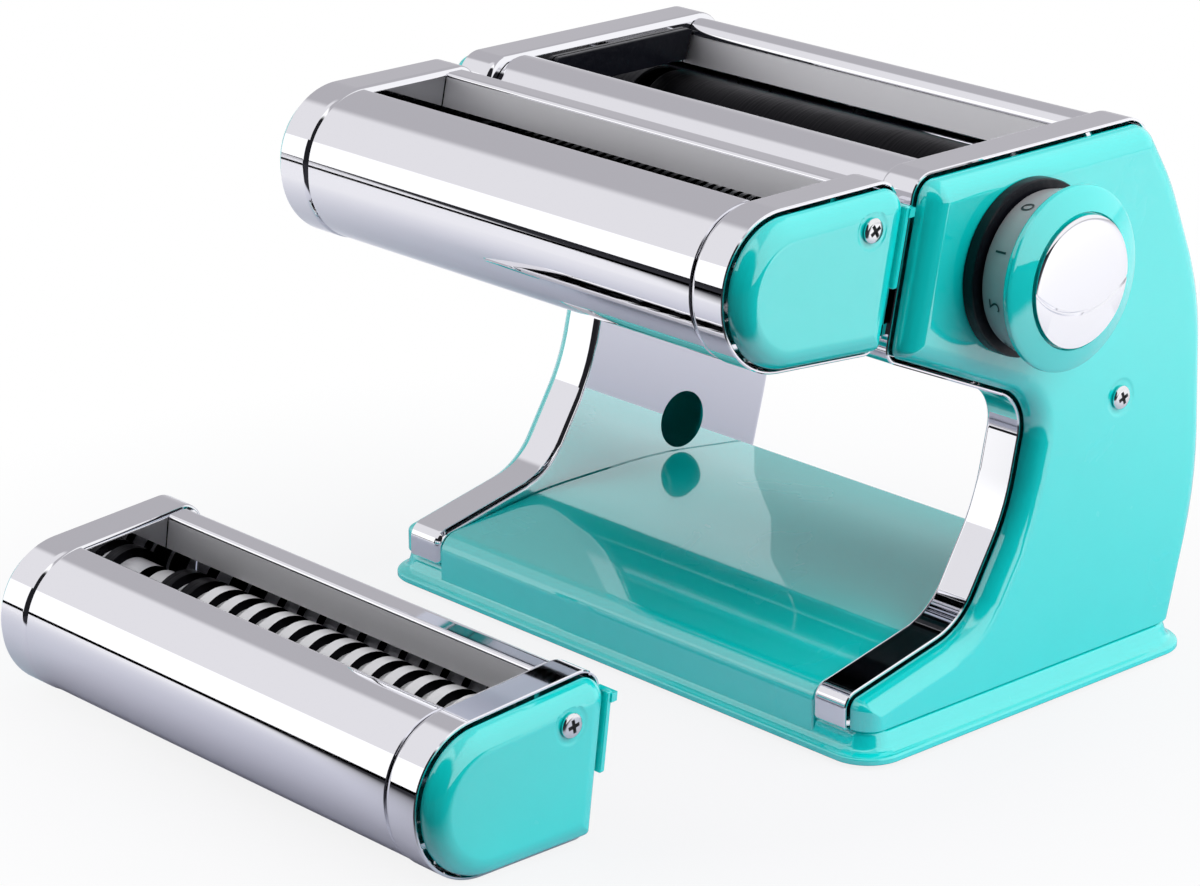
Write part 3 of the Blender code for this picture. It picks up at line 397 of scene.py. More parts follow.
def skinned(name, rows, material):
    """A closed body through rings of (x, y, z) points, with a face at each end."""
    work = bmesh.new()
    rows = [[work.verts.new(point) for point in row] for row in rows]
    count = len(rows[0])
    for low, high in zip(rows, rows[1:]):
        for i in range(count):
            j = (i + 1) % count
            work.faces.new((low[i], low[j], high[j], high[i]))
    work.faces.new(rows[0])
    work.faces.new(list(reversed(rows[-1])))
    return finished(name, work, material)


def loft(name, rings, material):
    """A body through upright outlines, from (x, points) pairs."""
    return skinned(name, [[(x, y, z) for y, z in points] for x, points in rings], material)


# %% Sheets that run from side to side
def on_circle(centre, radius, angle):
    return (centre[0] + radius * cos(angle), centre[1] + radius * sin(angle))


def arc(centre, radius, start, end, steps):
    return [
        on_circle(centre, radius, radians(start + (end - start) * i / steps))
        for i in range(steps + 1)
    ]


def sheet_section(points, thickness):
    """The edge of a bent sheet: its outer face follows the points, its wall lies to their right."""
    inner = []
    for i, point in enumerate(points):
        here = Vector(point)
        one = here - Vector(points[i - 1]) if i else Vector(points[1]) - here
        two = Vector(points[i + 1]) - here if i < len(points) - 1 else one
        one.normalize()
        two.normalize()
        normal = Vector((one.y, -one.x)) + Vector((two.y, -two.x))
        normal.normalize()
        stretch = max(normal.dot(Vector((one.y, -one.x))), 0.4)
        inner.append(tuple(here + normal * (thickness / stretch)))
    return list(points) + inner[::-1]


def long_sheet(name, points, thickness, half):
    section = sheet_section(points, thickness)
    return loft(name, [(-half, section), (half, section)], chrome)


# %% Round pieces, turned about a line along X
def turned(name, profile, axis, material, steps=96, closed=False):
    """From (x, radius) pairs, right end first. A radius of 0 closes the end in a point."""
    work = bmesh.new()
    rows = []
    for x, radius in profile:
        turns = [2 * pi * i / steps for i in range(steps if radius else 1)]
        rows.append([work.verts.new((x, *on_circle(axis, radius, turn))) for turn in turns])
    pairs = list(zip(rows, rows[1:]))
    if closed:
        pairs.append((rows[-1], rows[0]))
    for one, two in pairs:
        for i in range(steps):
            j = (i + 1) % steps
            if len(one) == 1:
                work.faces.new((one[0], two[i], two[j]))
            elif len(two) == 1:
                work.faces.new((one[i], two[0], one[j]))
            else:
                work.faces.new((one[i], two[i], two[j], one[j]))
    return finished(name, work, material)


def six_sided(piece, axis, radius, low, high, material):
    """Cuts a hexagonal socket for the hand crank."""
    points = [on_circle(axis, radius, pi * i / 3) for i in range(6)]
    cut_away(piece, loft("socket", [(low, points), (high, points)], material))


# %% Booleans, joining, and the last step of every piece
def evaluated_mesh(piece):
    bpy.context.view_layer.update()
    graph = bpy.context.evaluated_depsgraph_get()
    return bpy.data.meshes.new_from_object(piece.evaluated_get(graph))


def bake_modifiers(piece):
    mesh = evaluated_mesh(piece)
    piece.modifiers.clear()
    old = piece.data
    piece.data = mesh
    bpy.data.meshes.remove(old)
    mesh.name = piece.name


def cut_away(piece, tool):
    step = piece.modifiers.new("Cut", "BOOLEAN")
    step.operation = "DIFFERENCE"
    step.object = tool
    bake_modifiers(piece)
    bpy.data.objects.remove(tool, do_unlink=True)
    smooth(piece.data)


def hole(piece, axis, radius, low, high):
    profile = [(high, 0), (high, radius), (low, radius), (low, 0)]
    cut_away(piece, turned("hole_tool", profile, axis, chrome, 64))


def soften(piece, width):
    step = piece.modifiers.new("Edge", "BEVEL")
    step.width = width
    step.segments = 3
    step.limit_method = "ANGLE"
    bake_modifiers(piece)


def joined(name, parts):
    """One mesh from several, each keeping its finish."""
    work = bmesh.new()
    finishes = []
    for part in parts:
        offset = len(finishes)
        finishes += list(part.data.materials)
        before = len(work.faces)
        work.from_mesh(part.data)
        work.faces.ensure_lookup_table()
        for face in work.faces[before:]:
            face.material_index += offset
        bpy.data.objects.remove(part, do_unlink=True)
    mesh = bpy.data.meshes.new(name)
    for finish in finishes:
        mesh.materials.append(finish)
    work.to_mesh(mesh)
    work.free()
    return add_object(name, mesh)


def even_normals(piece):
    """Keeps wide flat faces flat where a rounded edge runs into them."""
    step = piece.modifiers.new("Even", "WEIGHTED_NORMAL")
    step.keep_sharp = True
    step.weight = 80
    bake_modifiers(piece)


def place_piece(piece, body, replaced=(), pose=None, even=True):
    if even:
        even_normals(piece)
    mesh = piece.data
    mesh.transform(to_frame @ (pose or Matrix.Identity(4)))
    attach(piece, body)
    if replaced:
        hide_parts(*replaced)
    print(piece.name, len(mesh.polygons), "faces")


def mirror_copy(piece, name):
    mesh = piece.data.copy()
    mesh.name = name
    mesh.transform(Matrix.Scale(-1, 4, (1, 0, 0)))
    mesh.flip_normals()
    return add_object(name, mesh)


def place_pair(piece, body, node, pose=None):
    """Places a right piece and its mirrored copy, each for the solid of its own side."""
    twin = mirror_copy(piece, piece.name.replace("right", "left"))
    for each, side in ((piece, "right"), (twin, "left")):
        place_piece(each, body, [f"{node}_{side}"], pose)


# %% [markdown]
# ## The side view of the stand
# Clockwise from the top front corner: the top, the bulging rear edge, the foot, the toe,
# the open throat, and the housing's lower front corner. The front edge of the housing
# leans back by 12 degrees, and the cutter head hangs on it.

# %% Outlines of the stand and the head
FRAME_TOP = 159.6
FRAME_BOTTOM = 9.2
LEAN = radians(12.0)
FRAME_FRONT_TOP = -47.5
HOUSING_LOW = 110.8
FOOT_FRONT = -70.6
REAR_FOOT = 59.9
OPENING_HALF = 78.0
FLANGE_EDGE = 90.5
COVER_EDGE = 90.8
COVER_FACE = 97.4
SHEET = 1.0
GAP = 0.3

lean_run = tan(LEAN) * (FRAME_TOP - HOUSING_LOW)
FRAME_CORNERS = [
    (FRAME_FRONT_TOP, FRAME_TOP, 7.5), (41.8, FRAME_TOP, 9.0), (53.3, FRAME_TOP - 18.0, 60.0),
    (67.7, 107.0, 80.0), (70.3, 48.0, 110.0), (REAR_FOOT, FRAME_BOTTOM, 2.0),
    (FOOT_FRONT, FRAME_BOTTOM, 1.5), (FOOT_FRONT, 19.0, 5.0), (-26.6, 28.6, 21.0),
    (-9.2, 57.0, 57.0), (-2.4, 86.9, 12.0), (FRAME_FRONT_TOP - lean_run, HOUSING_LOW, 5.0),
]

HEAD_TOP = 159.9
HEAD_LOW = 113.2
HEAD_FRONT = -116.4
HEAD_REAR_TOP = -50.8
HEAD_ROUND = 22.0
UNDERSIDE_RISE = 4.4
HEAD_CORNERS = [
    (HEAD_FRONT, HEAD_TOP, HEAD_ROUND), (HEAD_REAR_TOP, HEAD_TOP, 7.0),
    (HEAD_REAR_TOP - tan(LEAN) * (HEAD_TOP - HEAD_LOW), HEAD_LOW, 4.0),
    (HEAD_FRONT, HEAD_LOW + UNDERSIDE_RISE, HEAD_ROUND),
]


def front_edge(z, ahead=0.0):
    return FRAME_FRONT_TOP - tan(LEAN) * (FRAME_TOP - z) - ahead / cos(LEAN)


def leaning_bar(name, low_z, high_z, near, far, x_low, x_high, material):
    points = [
        (front_edge(low_z, near), low_z), (front_edge(high_z, near), high_z),
        (front_edge(high_z, far), high_z), (front_edge(low_z, far), low_z),
    ]
    return loft(name, [(x_low, points), (x_high, points)], material)


print("outline points", len(outline(FRAME_CORNERS)), len(outline(HEAD_CORNERS)))

# %% [markdown]
# ## Chromed side frames
# Each side of the stand is a pressed pan: a flat web beside the opening, and a flange that
# follows the outline. The press leaves a small bend between the two, and that bend is what
# draws the dark line along the bright band, so it gets its own rings in the loft.

# %% A pressed pan
BEND = 2.0
BEND_STEPS = 5
INNER_BEND = 0.8
RIM = 0.3


def pan(name, corners, web, depth):
    rim = web + depth
    bends = [pi / 2 * i / BEND_STEPS for i in range(BEND_STEPS + 1)]
    steps = [(web + BEND * (1 - cos(bend)), BEND * (1 - sin(bend))) for bend in bends]
    steps += [
        (rim - RIM, 0.0), (rim, RIM), (rim, SHEET - RIM), (rim - RIM, SHEET),
        (web + SHEET + INNER_BEND, SHEET), (web + SHEET, SHEET + INNER_BEND),
    ]
    return loft(name, [(x, outline(corners, inset)) for x, inset in steps], chrome)


# %% Right and left frame, with their bores, rails and the clamp hole
DIAL_Y = -11.6
ROLLER_HEIGHT = 129.2
DIAL_AXIS = (DIAL_Y, ROLLER_HEIGHT)
REAR_AXIS = (21.9, ROLLER_HEIGHT)
FRONT_AXIS = (DIAL_Y - 1.2, ROLLER_HEIGHT)
ROLLER_RADIUS = 16.0
CLAMP_HOLE = (29.4, 32.0)
CLAMP_HOLE_RADIUS = 9.0
TIE_ROD = (46.0, 118.0)
FRAME_BORES = ((REAR_AXIS, 10.3), (DIAL_AXIS, 12.5), (TIE_ROD, 2.1))
RAIL_EDGE = FLANGE_EDGE - 0.9
RAIL_INNER = RAIL_EDGE - 5.0
RAIL_LOW = 118.0
RAIL_HIGH = 149.0


def side_frame(name):
    piece = pan(name, FRAME_CORNERS, OPENING_HALF, FLANGE_EDGE - OPENING_HALF)
    for axis, radius in FRAME_BORES:
        hole(piece, axis, radius, OPENING_HALF - 5, OPENING_HALF + 5)
    return piece


frame_right = side_frame("frame_right")
frame_left = mirror_copy(frame_right, "frame_left")
hole(frame_left, CLAMP_HOLE, CLAMP_HOLE_RADIUS, -OPENING_HALF - 5, -OPENING_HALF + 5)

rail_span = (RAIL_INNER, RAIL_EDGE, chrome)
rail_right = joined("rail_right", [
    leaning_bar("rail", RAIL_LOW, RAIL_HIGH, 1.9, 2.9, *rail_span),
    leaning_bar("rail_foot", RAIL_LOW, RAIL_LOW + 3.0, -0.3, 2.4, *rail_span),
])
rail_left = mirror_copy(rail_right, "rail_left_side")
place_piece(frame_right, "stand", ["side_frame_right"])
place_piece(frame_left, "stand", ["side_frame_left"])
place_piece(rail_right, "stand")
place_piece(rail_left, "stand")

# %% [markdown]
# ## Enamelled covers
# The covers follow the same outline. Their shoulder is a quarter round from the sides to
# the face, except along the foot, where the cover stands straight on the base. The wide
# flat face meets the shoulder smoothly, so the corner normals are weighted by area.

# %% A cover with a rounded shoulder
SHOULDER = 6.2
SHOULDER_STEPS = 10
SHELL = 1.2
INSET = 1.7
FOOT_INSET = 0.2
STRAIGHT = 0.4


def cover(name, corners, edge, depth):
    outer = [(edge, INSET + 0.15), (edge + 0.15, INSET)]
    inner = [(edge, INSET + SHELL)]
    for i in range(SHOULDER_STEPS + 1):
        angle = pi / 2 * i / SHOULDER_STEPS
        bend, rise = 1 - cos(angle), sin(angle)
        outer.append((edge + STRAIGHT + (depth - STRAIGHT) * rise, INSET + SHOULDER * bend))
        if i % 3 == 1:
            height = edge + STRAIGHT + (depth - STRAIGHT - SHELL) * rise
            inner.append((height, INSET + SHELL + (SHOULDER - SHELL) * bend))
    rings = [(x, outline(corners, inset, FOOT_INSET)) for x, inset in reversed(outer)]
    rings += [(x, outline(corners, inset, FOOT_INSET + SHELL)) for x, inset in inner]
    return loft(name, rings, enamel)


COVER_SCREW = (30.2, 82.4)


def dimple(piece, axis, face):
    """A shallow dish round a screw."""
    profile = [
        (face + 1, 0), (face + 1, 7.4), (face + 0.02, 6.0), (face - 0.3, 5.3),
        (face - 0.5, 4.4), (face - 0.5, 0),
    ]
    cut_away(piece, turned("dimple", profile, axis, enamel, 64))


cover_right = cover("cover_right", FRAME_CORNERS, COVER_EDGE, COVER_FACE - COVER_EDGE)
dimple(cover_right, COVER_SCREW, COVER_FACE)
cover_left = mirror_copy(cover_right, "cover_left")
hole(cover_right, DIAL_AXIS, 6.0, COVER_FACE - 6, COVER_FACE + 5)
hole(cover_left, REAR_AXIS, 7.5, -COVER_FACE - 5, -COVER_FACE + 6)
place_piece(cover_right, "stand", ["side_cover_right"])
place_piece(cover_left, "stand", ["side_cover_left"])

# %% [markdown]
# ## The base
# The base is one pressed and enamelled sheet: a low lip, a flare that sweeps in, and a
# hollow deck that rises between the side frames and bends down again at front and rear.

# %% Base tray and deck
BASE_RISE = 1.2
TRAY_TOP = 8.9
TRAY_WALL = 1.4


def tray_outline(inset):
    corners = [
        (BASE_FRONT, -BASE_HALF, 12.0), (BASE_FRONT, BASE_HALF, 12.0),
        (BASE_REAR, BASE_HALF, 12.0), (BASE_REAR, -BASE_HALF, 12.0),
    ]
    return [(x, y) for y, x in outline(corners, inset)]


tray_rows = [
    (5.8, TRAY_TOP - TRAY_WALL), (5.0, 5.0), (3.4, 3.2), (1.4, 2.0), (1.4, BASE_RISE + 0.2),
    (1.0, BASE_RISE), (0.3, BASE_RISE), (0.0, BASE_RISE + 0.3), (0.0, 2.5),
    (0.15, 2.9), (0.5, 3.25), (1.1, 3.5), (2.0, 3.8), (2.8, 4.4), (3.4, 5.3), (3.8, 6.4),
    (4.1, 7.5), (4.4, 8.2), (4.9, 8.7), (5.6, TRAY_TOP),
]
tray_rings = [[(x, y, z) for x, y in tray_outline(inset)] for inset, z in tray_rows]
tray = skinned("base_tray", tray_rings, enamel)


def deck_outline(inset):
    front, rear = FOOT_FRONT + 0.8, REAR_FOOT - 1.0
    return outline([
        (front, 2.4, 0.5), (front, 18.3, 6.0), (-30.0, 23.3, 200.0),
        (18.0, 23.6, 200.0), (rear, 18.3, 6.0), (rear, 2.4, 0.5),
    ], inset)


DECK_HALF = OPENING_HALF - GAP
deck = loft("base_deck", [
    (-DECK_HALF, deck_outline(0.4)), (-DECK_HALF + 0.4, deck_outline(0.0)),
    (DECK_HALF - 0.4, deck_outline(0.0)), (DECK_HALF, deck_outline(0.4)),
], enamel)
room = [(y, z - TRAY_WALL) for y, z in deck_outline(TRAY_WALL)]
room_half = DECK_HALF - TRAY_WALL
for piece in (deck, tray):
    cut_away(piece, loft("hollow", [(-room_half, room), (room_half, room)], enamel))
base = joined("base", [tray, deck])
place_piece(base, "stand", ["base_plate"])

# %% [markdown]
# ## Sheets across the top
# Between the frames run bent chrome sheets. The hood in front rounds over from the
# leaning front wall into the hopper. The rear plate starts in the hopper, rolls over at
# the top, and runs down the back to close the housing.

# %% A hopper's rear wall is satin, so it stays pale beside the black guards
def satin_below(sheet, line_y, line_z):
    sheet.data.materials.append(satin)
    for face in sheet.data.polygons:
        if face.center.y < line_y and face.center.z < line_z:
            face.material_index = len(sheet.data.materials) - 1


# %% Hood, rear plate and tie rod
HOPPER_FRONT = -24.0
HOPPER_REAR = 31.5
WALL_LEAN = 2.4
WALL_END = 146.0
HOOD_RADIUS = 11.5
ROLL_RADIUS = 4.6
BULGE = 0.35
SHEET_HALF = OPENING_HALF - GAP


def rear_edge(z):
    marks = [(corner[1], corner[0]) for corner in FRAME_CORNERS[1:6]]
    for (high, y_high), (low, y_low) in zip(marks, marks[1:]):
        if z >= low:
            return y_low + (y_high - y_low) * (z - low) / (high - low)
    return marks[-1][1]


hood_middle = (HOPPER_FRONT - HOOD_RADIUS, FRAME_TOP - 0.6 - HOOD_RADIUS)
hood_points = [(HOPPER_FRONT, WALL_END)] + arc(hood_middle, HOOD_RADIUS, 0, 174, 44) + [
    (front_edge(hood_middle[1] - 2, -1.0), hood_middle[1] - 6),
    (front_edge(HOUSING_LOW + 4, -1.4), HOUSING_LOW + 4),
]
hood = long_sheet("hood", hood_points[::-1], SHEET, SHEET_HALF)
place_piece(hood, "stand", ["front_hood"])

roll = (HOPPER_REAR + ROLL_RADIUS, FRAME_TOP - 1.2 - ROLL_RADIUS)
rear_points = [(HOPPER_REAR - WALL_LEAN, WALL_END)] + arc(roll, ROLL_RADIUS, 180, 50, 26)
rear_path = [rear_points[-1]] + [(rear_edge(z) - 2.5, z) for z in (141.6, 128.0, 107.0, 96.0)]
for (y0, z0), (y1, z1) in zip(rear_path, rear_path[1:]):
    for i in range(1, 7):
        t = i / 6
        rear_points.append((y0 + (y1 - y0) * t + BULGE * sin(pi * t), z0 + (z1 - z0) * t))
rear_plate = long_sheet("rear_plate", rear_points, SHEET, SHEET_HALF)
satin_below(rear_plate, HOPPER_REAR + 0.7, roll[1] + 0.5)
place_piece(rear_plate, "stand", ["rear_cover"])

tie_rod = turned("tie_rod", [
    (SHEET_HALF, 0), (SHEET_HALF, 3.6), (SHEET_HALF - 0.4, 4.0),
    (-SHEET_HALF + 0.4, 4.0), (-SHEET_HALF, 3.6), (-SHEET_HALF, 0),
], TIE_ROD, chrome, 48)
place_piece(tie_rod, "stand", ["tie_rod_rear"])

# %% [markdown]
# ## Black guards in the hopper
# A black plastic plate at each end keeps dough off the bearings. It is moulded, so its
# edges are slightly rounded, and its skin has fine pores that catch small lights.

# %% Guards
GUARD_THICKNESS = 1.6
GUARD_TOP = 156.4
GUARD_LOW = 147.0
guard_front, guard_rear = HOPPER_FRONT + GAP, HOPPER_REAR - GAP
guard_corners = [
    (guard_front, GUARD_TOP, 1.8), (guard_rear, GUARD_TOP, 1.8),
    (guard_rear - 0.2, GUARD_TOP - 2.8, 0.2), (guard_rear - WALL_LEAN, GUARD_LOW, 0.4),
    (guard_front, GUARD_LOW, 0.4),
]
guard_outer = OPENING_HALF - GAP
guard_inner = guard_outer - GUARD_THICKNESS
guard_right = loft("guard_right", [
    (guard_inner, outline(guard_corners, 0.4)), (guard_inner + 0.12, outline(guard_corners, 0.12)),
    (guard_inner + 0.4, outline(guard_corners)), (guard_outer, outline(guard_corners)),
], black_plastic_and_shade)
place_pair(guard_right, "stand", "hopper_guard")

# %% [markdown]
# ## The sheet rollers
# The rollers are ground bars with stepped ends. They are the working surface, so their
# barrels are true cylinders, and only the grinding lines break the reflection. Their steel is
# painted near black, a painted shade for the deep hopper.

# %% Rollers
JOURNAL_END = 81.5
ROLLER_SOCKET = 3.8
barrel = OPENING_HALF - GUARD_THICKNESS - GAP - 1.0
collar = OPENING_HALF - 0.8


def sheet_roller(name, axis, left_end, socket):
    profile = [
        (JOURNAL_END, 0), (JOURNAL_END, 5.6), (JOURNAL_END - 0.4, 6.0), (collar, 6.0),
        (collar, 8.0), (barrel, 8.0), (barrel, ROLLER_RADIUS - 0.6),
        (barrel - 0.6, ROLLER_RADIUS),
    ]
    profile += [(-x, r) for x, r in reversed(profile[3:])]
    profile += [(-80.2, 6.0), (-80.2, 5.0), (left_end, 5.0), (left_end, 0)]
    # Painted shade: the roller's steel is near black, for the deep hopper.
    piece = turned(name, profile, axis, shade_steel, 96)
    if socket:
        six_sided(piece, axis, ROLLER_SOCKET, left_end - 1, left_end + 9, shade_steel)
    return piece


front_roller = sheet_roller("roller_front", FRONT_AXIS, -87.2, False)
rear_roller = sheet_roller("roller_rear", REAR_AXIS, -96.4, True)
place_piece(front_roller, "front_roller_set", ["front_roller"])
place_piece(rear_roller, "rear_roller_set", ["rear_roller"])

# %% [markdown]
# ## The thickness dial
# Turning the dial turns two eccentrics, which bring the front roller closer. The knob has
# a widest rim, a coned ring in front of it and a tapering number drum behind it. A chrome
# cap with a scooped finger recess covers its middle.

# %% Boss and knob
DIAL_RIM = 114.0
DIAL_FACE = 117.0
DIAL_BACK = 101.8
DIAL_RADIUS = 25.5
DRUM_RADIUS = 22.0
CAP_RADIUS = 18.1
CONE_BOW = 0.12
# The dial's foot is black moulding, made as wide as the knob, so its black is partly painted shade
# behind the knob.
boss = turned("dial_foot", [
    (101.2, 5.8), (101.2, 23.6), (101.0, 24.2), (100.4, 24.5), (97.7, 24.5), (97.7, 5.8),
], DIAL_AXIS, black_plastic_and_shade, 96, True)
place_piece(boss, "stand", ["dial_boss"])

cone_top = (DIAL_FACE - 0.1, CAP_RADIUS + 0.7)
cone_foot = (DIAL_RIM + 0.5, DIAL_RADIUS - 0.5)
knob_profile = [
    (113.0, 3.9), (113.0, 16.0), (DIAL_FACE - 0.9, 16.0), (DIAL_FACE - 0.9, CAP_RADIUS + 0.35),
    cone_top,
]
for i in range(1, 9):
    t = i / 8
    x, radius = (a + (b - a) * t for a, b in zip(cone_top, cone_foot))
    knob_profile.append((x + CONE_BOW * sin(pi * t), radius))
knob_profile += [
    (DIAL_RIM + 0.2, DIAL_RADIUS - 0.15), (DIAL_RIM - 0.3, DIAL_RADIUS),
    (DIAL_RIM - 1.0, DIAL_RADIUS), (DIAL_RIM - 1.5, DIAL_RADIUS - 0.3),
    (DIAL_RIM - 1.7, DIAL_RADIUS - 1.0), (DIAL_RIM - 1.7, 3.9),
]
ring = turned("dial_ring", knob_profile, DIAL_AXIS, enamel, 128, True)
drum_front = (DIAL_RIM - 1.75, DIAL_RADIUS - 1.2)
drum_back = (DIAL_BACK + 0.8, DRUM_RADIUS)
drum = turned("dial_drum", [
    (drum_front[0], 4.0), drum_front, drum_back, (DIAL_BACK + 0.2, DRUM_RADIUS - 0.3),
    (DIAL_BACK, DRUM_RADIUS - 0.8), (DIAL_BACK, 18.0), (DIAL_BACK + 2, 18.0), (DIAL_BACK + 2, 4.0),
], DIAL_AXIS, drum_metal, 128, True)

# %% Numbers round the drum
# Each number is a flat text, made a mesh and laid on the drum's taper.
NUMBER_MIDDLE = 107.2
NUMBER_RAISED = 0.14


def drum_radius(x):
    share = (x - drum_back[0]) / (drum_front[0] - drum_back[0])
    return drum_back[1] + (drum_front[1] - drum_back[1]) * share


def drum_number(digit, angle):
    letters = bpy.data.curves.new("number", "FONT")
    letters.body = str(digit)
    letters.size = 6.4
    letters.align_x = "CENTER"
    letters.align_y = "CENTER"
    holder = add_object("number", letters)
    mesh = evaluated_mesh(holder)
    bpy.data.objects.remove(holder, do_unlink=True)
    for vertex in mesh.vertices:
        x = NUMBER_MIDDLE + vertex.co.y
        reach = drum_radius(x) + NUMBER_RAISED
        vertex.co = (x, *on_circle(DIAL_AXIS, reach, angle - vertex.co.x / reach))
    return new_piece("number", mesh, number_ink)


numbers = [drum_number(digit, radians(118 + 36 * digit)) for digit in range(10)]
knob = joined("knob", [ring, drum] + numbers)
place_piece(knob, "dial", ["dial_knob"], even=False)

# %% Cap with its finger recess
# A shallow domed button, from which a tilted ring, centred above the dial, cuts the crescent.
CAP_SEAT = DIAL_FACE + GAP
CAP_STEM = 15.7
CAP_DOME = 0.95
SCOOP_PLACE = (118.5, DIAL_Y + 1.0, ROLLER_HEIGHT + 17.0)
SCOOP_TILT = radians(1.5)
dome = [i / 24 for i in range(25)]
cap_profile = [
    (CAP_SEAT + 0.45 + CAP_DOME * (1 - t * t) ** 0.6, CAP_RADIUS * t) for t in dome
] + [
    (CAP_SEAT + 0.1, CAP_RADIUS - 0.05), (CAP_SEAT, CAP_RADIUS - 0.4), (CAP_SEAT, CAP_STEM),
    (CAP_SEAT - 4.0, CAP_STEM), (CAP_SEAT - 4.0, 0),
]
cap = turned("dial_button", cap_profile, DIAL_AXIS, chrome, 128)
scoop_profile = [
    (-0.45, 25.7), (-0.45, 25.3), (1.3, 24.2), (8.0, 24.2), (8.0, 48.0), (0.0, 48.0), (0.0, 26.1),
]
scoop = turned("scoop", scoop_profile, (0.0, 0.0), chrome, 192, True)
tilt = Matrix.Rotation(SCOOP_TILT, 4, "Y")
scoop.data.transform(Matrix.Translation(SCOOP_PLACE) @ tilt)
cut_away(cap, scoop)
place_piece(cap, "dial", ["dial_cap"], even=False)

# %% [markdown]
# ## The two cutter heads
# Both heads share one set of pieces. The fitted head is made where it hangs. The spare one
# is made in the same place and then moved by a pose, which turns it until its sloping
# underside lies level on the table.

# %% Where the spare head lies
SPARE_X = -11.5
SPARE_Y = -177.5
rear_low, front_low = HEAD_CORNERS[2], HEAD_CORNERS[3]
spare_tilt = atan2(front_low[1] - rear_low[1], rear_low[0] - front_low[0])
head_middle = ((HEAD_FRONT + HEAD_REAR_TOP) / 2, (HEAD_TOP + HEAD_LOW) / 2)
spare_lift = -min(
    (z - head_middle[1]) * cos(spare_tilt) + (y - head_middle[0]) * sin(spare_tilt)
    for y, z in outline(HEAD_CORNERS)
)
spare_pose = (
    Matrix.Translation((SPARE_X, SPARE_Y, spare_lift))
    @ Matrix.Rotation(spare_tilt, 4, "X")
    @ Matrix.Translation((0, -head_middle[0], -head_middle[1]))
)
HEADS = {"head": Matrix.Identity(4), "spare": spare_pose}
BODIES = {"head": "cutter_head", "spare": "spare_head"}
print("spare head tilted by", round(degrees(spare_tilt), 2), "degrees")

# %% End frames and caps of a head
HEAD_HALF = 77.0
HEAD_WEB = HEAD_HALF + GAP
HEAD_FLANGE = 12.0
HEAD_CAP_EDGE = HEAD_WEB + HEAD_FLANGE + GAP
HEAD_CAP_DEPTH = 5.4
HEAD_CAP_FACE = HEAD_CAP_EDGE + HEAD_CAP_DEPTH
HEAD_SCREW = (-67.8, 149.7)
CUTTER_HEIGHT = 136.0
CUTTER_FRONT = -92.0
CUTTER_REAR = {"head": -69.9, "spare": -71.7}
CUTTER_SHAFT = 4.5


def head_frames(which):
    frame_piece = pan(which + "_frame_right", HEAD_CORNERS, HEAD_WEB, HEAD_FLANGE)
    for y in (CUTTER_FRONT, CUTTER_REAR[which]):
        hole(frame_piece, (y, CUTTER_HEIGHT), CUTTER_SHAFT + GAP, HEAD_WEB - 4, HEAD_WEB + 4)
    place_pair(frame_piece, BODIES[which], which + "_end_frame", HEADS[which])


# The cap's hook: a tongue behind the cap, a lip that slides behind the rail, and a nib
# that joins the two.
HOOK_LOW = 131.0
HOOK_HIGH = 152.5
LIP_LOW = 137.0
BEHIND_HEAD = 3.3 * cos(LEAN)


def head_caps(which):
    cap_piece = cover(which + "_cap_right", HEAD_CORNERS, HEAD_CAP_EDGE, HEAD_CAP_DEPTH)
    dimple(cap_piece, HEAD_SCREW, HEAD_CAP_FACE)
    near, edge = BEHIND_HEAD, HEAD_CAP_EDGE + 0.4
    inside = RAIL_EDGE - 3.4
    tongue = leaning_bar(
        "tongue", HOOK_LOW, HOOK_HIGH, near - 1.3, near + 0.4, edge, edge + 2.4, enamel
    )
    soften(tongue, 0.4)
    nib = leaning_bar(
        "nib", HOOK_HIGH - 3.0, HOOK_HIGH - 0.6, 0.5, near - 0.9, inside, edge + 2.85, enamel
    )
    lip = leaning_bar(
        "lip", LIP_LOW, HOOK_HIGH - 0.7, 0.35, 1.55, inside + 0.1, RAIL_EDGE - 0.3, enamel
    )
    soften(lip, 0.3)
    whole = joined(which + "_cap_right_whole", [cap_piece, tongue, nib, lip])
    place_pair(whole, BODIES[which], which + "_end_cap", HEADS[which])


for which in HEADS:
    head_frames(which)
    head_caps(which)

# %% Front shell and back plate of a head
# The shell curves over the front cutter. The back plate stands behind the rear one, and its
# top edge is rolled over. The outline starts with the upper front arc, so the two front
# arcs are put in the sheet's own order.
MOUTH_FRONT = -94.5
MOUTH_REAR = -64.8
SHELL_MIDDLE = HEAD_TOP - 21.5
SHELL_LIP = 1.8
PLATE_TOP = HEAD_TOP - 0.8
PLATE_NEAR = 1.2
PLATE_FAR = 2.8


def head_shell(which):
    ring = [point for point in outline(HEAD_CORNERS, GAP) if point[0] < MOUTH_FRONT]
    low_arc = [point for point in ring if point[1] < SHELL_MIDDLE]
    high_arc = [point for point in ring if point[1] >= SHELL_MIDDLE]
    end_y = MOUTH_FRONT + 9.0
    slope = UNDERSIDE_RISE / (HEAD_FRONT - HEAD_CORNERS[2][0])
    points = [(end_y, low_arc[0][1] + slope * (end_y - low_arc[0][0]))] + low_arc + high_arc
    points += arc((MOUTH_FRONT - 1.2, HEAD_TOP - GAP - SHELL_LIP), SHELL_LIP, 84, 0, 8)
    points.append((MOUTH_FRONT + 0.6, HEAD_TOP - 4.2))
    return long_sheet(which + "_shell", points, SHEET, HEAD_HALF)


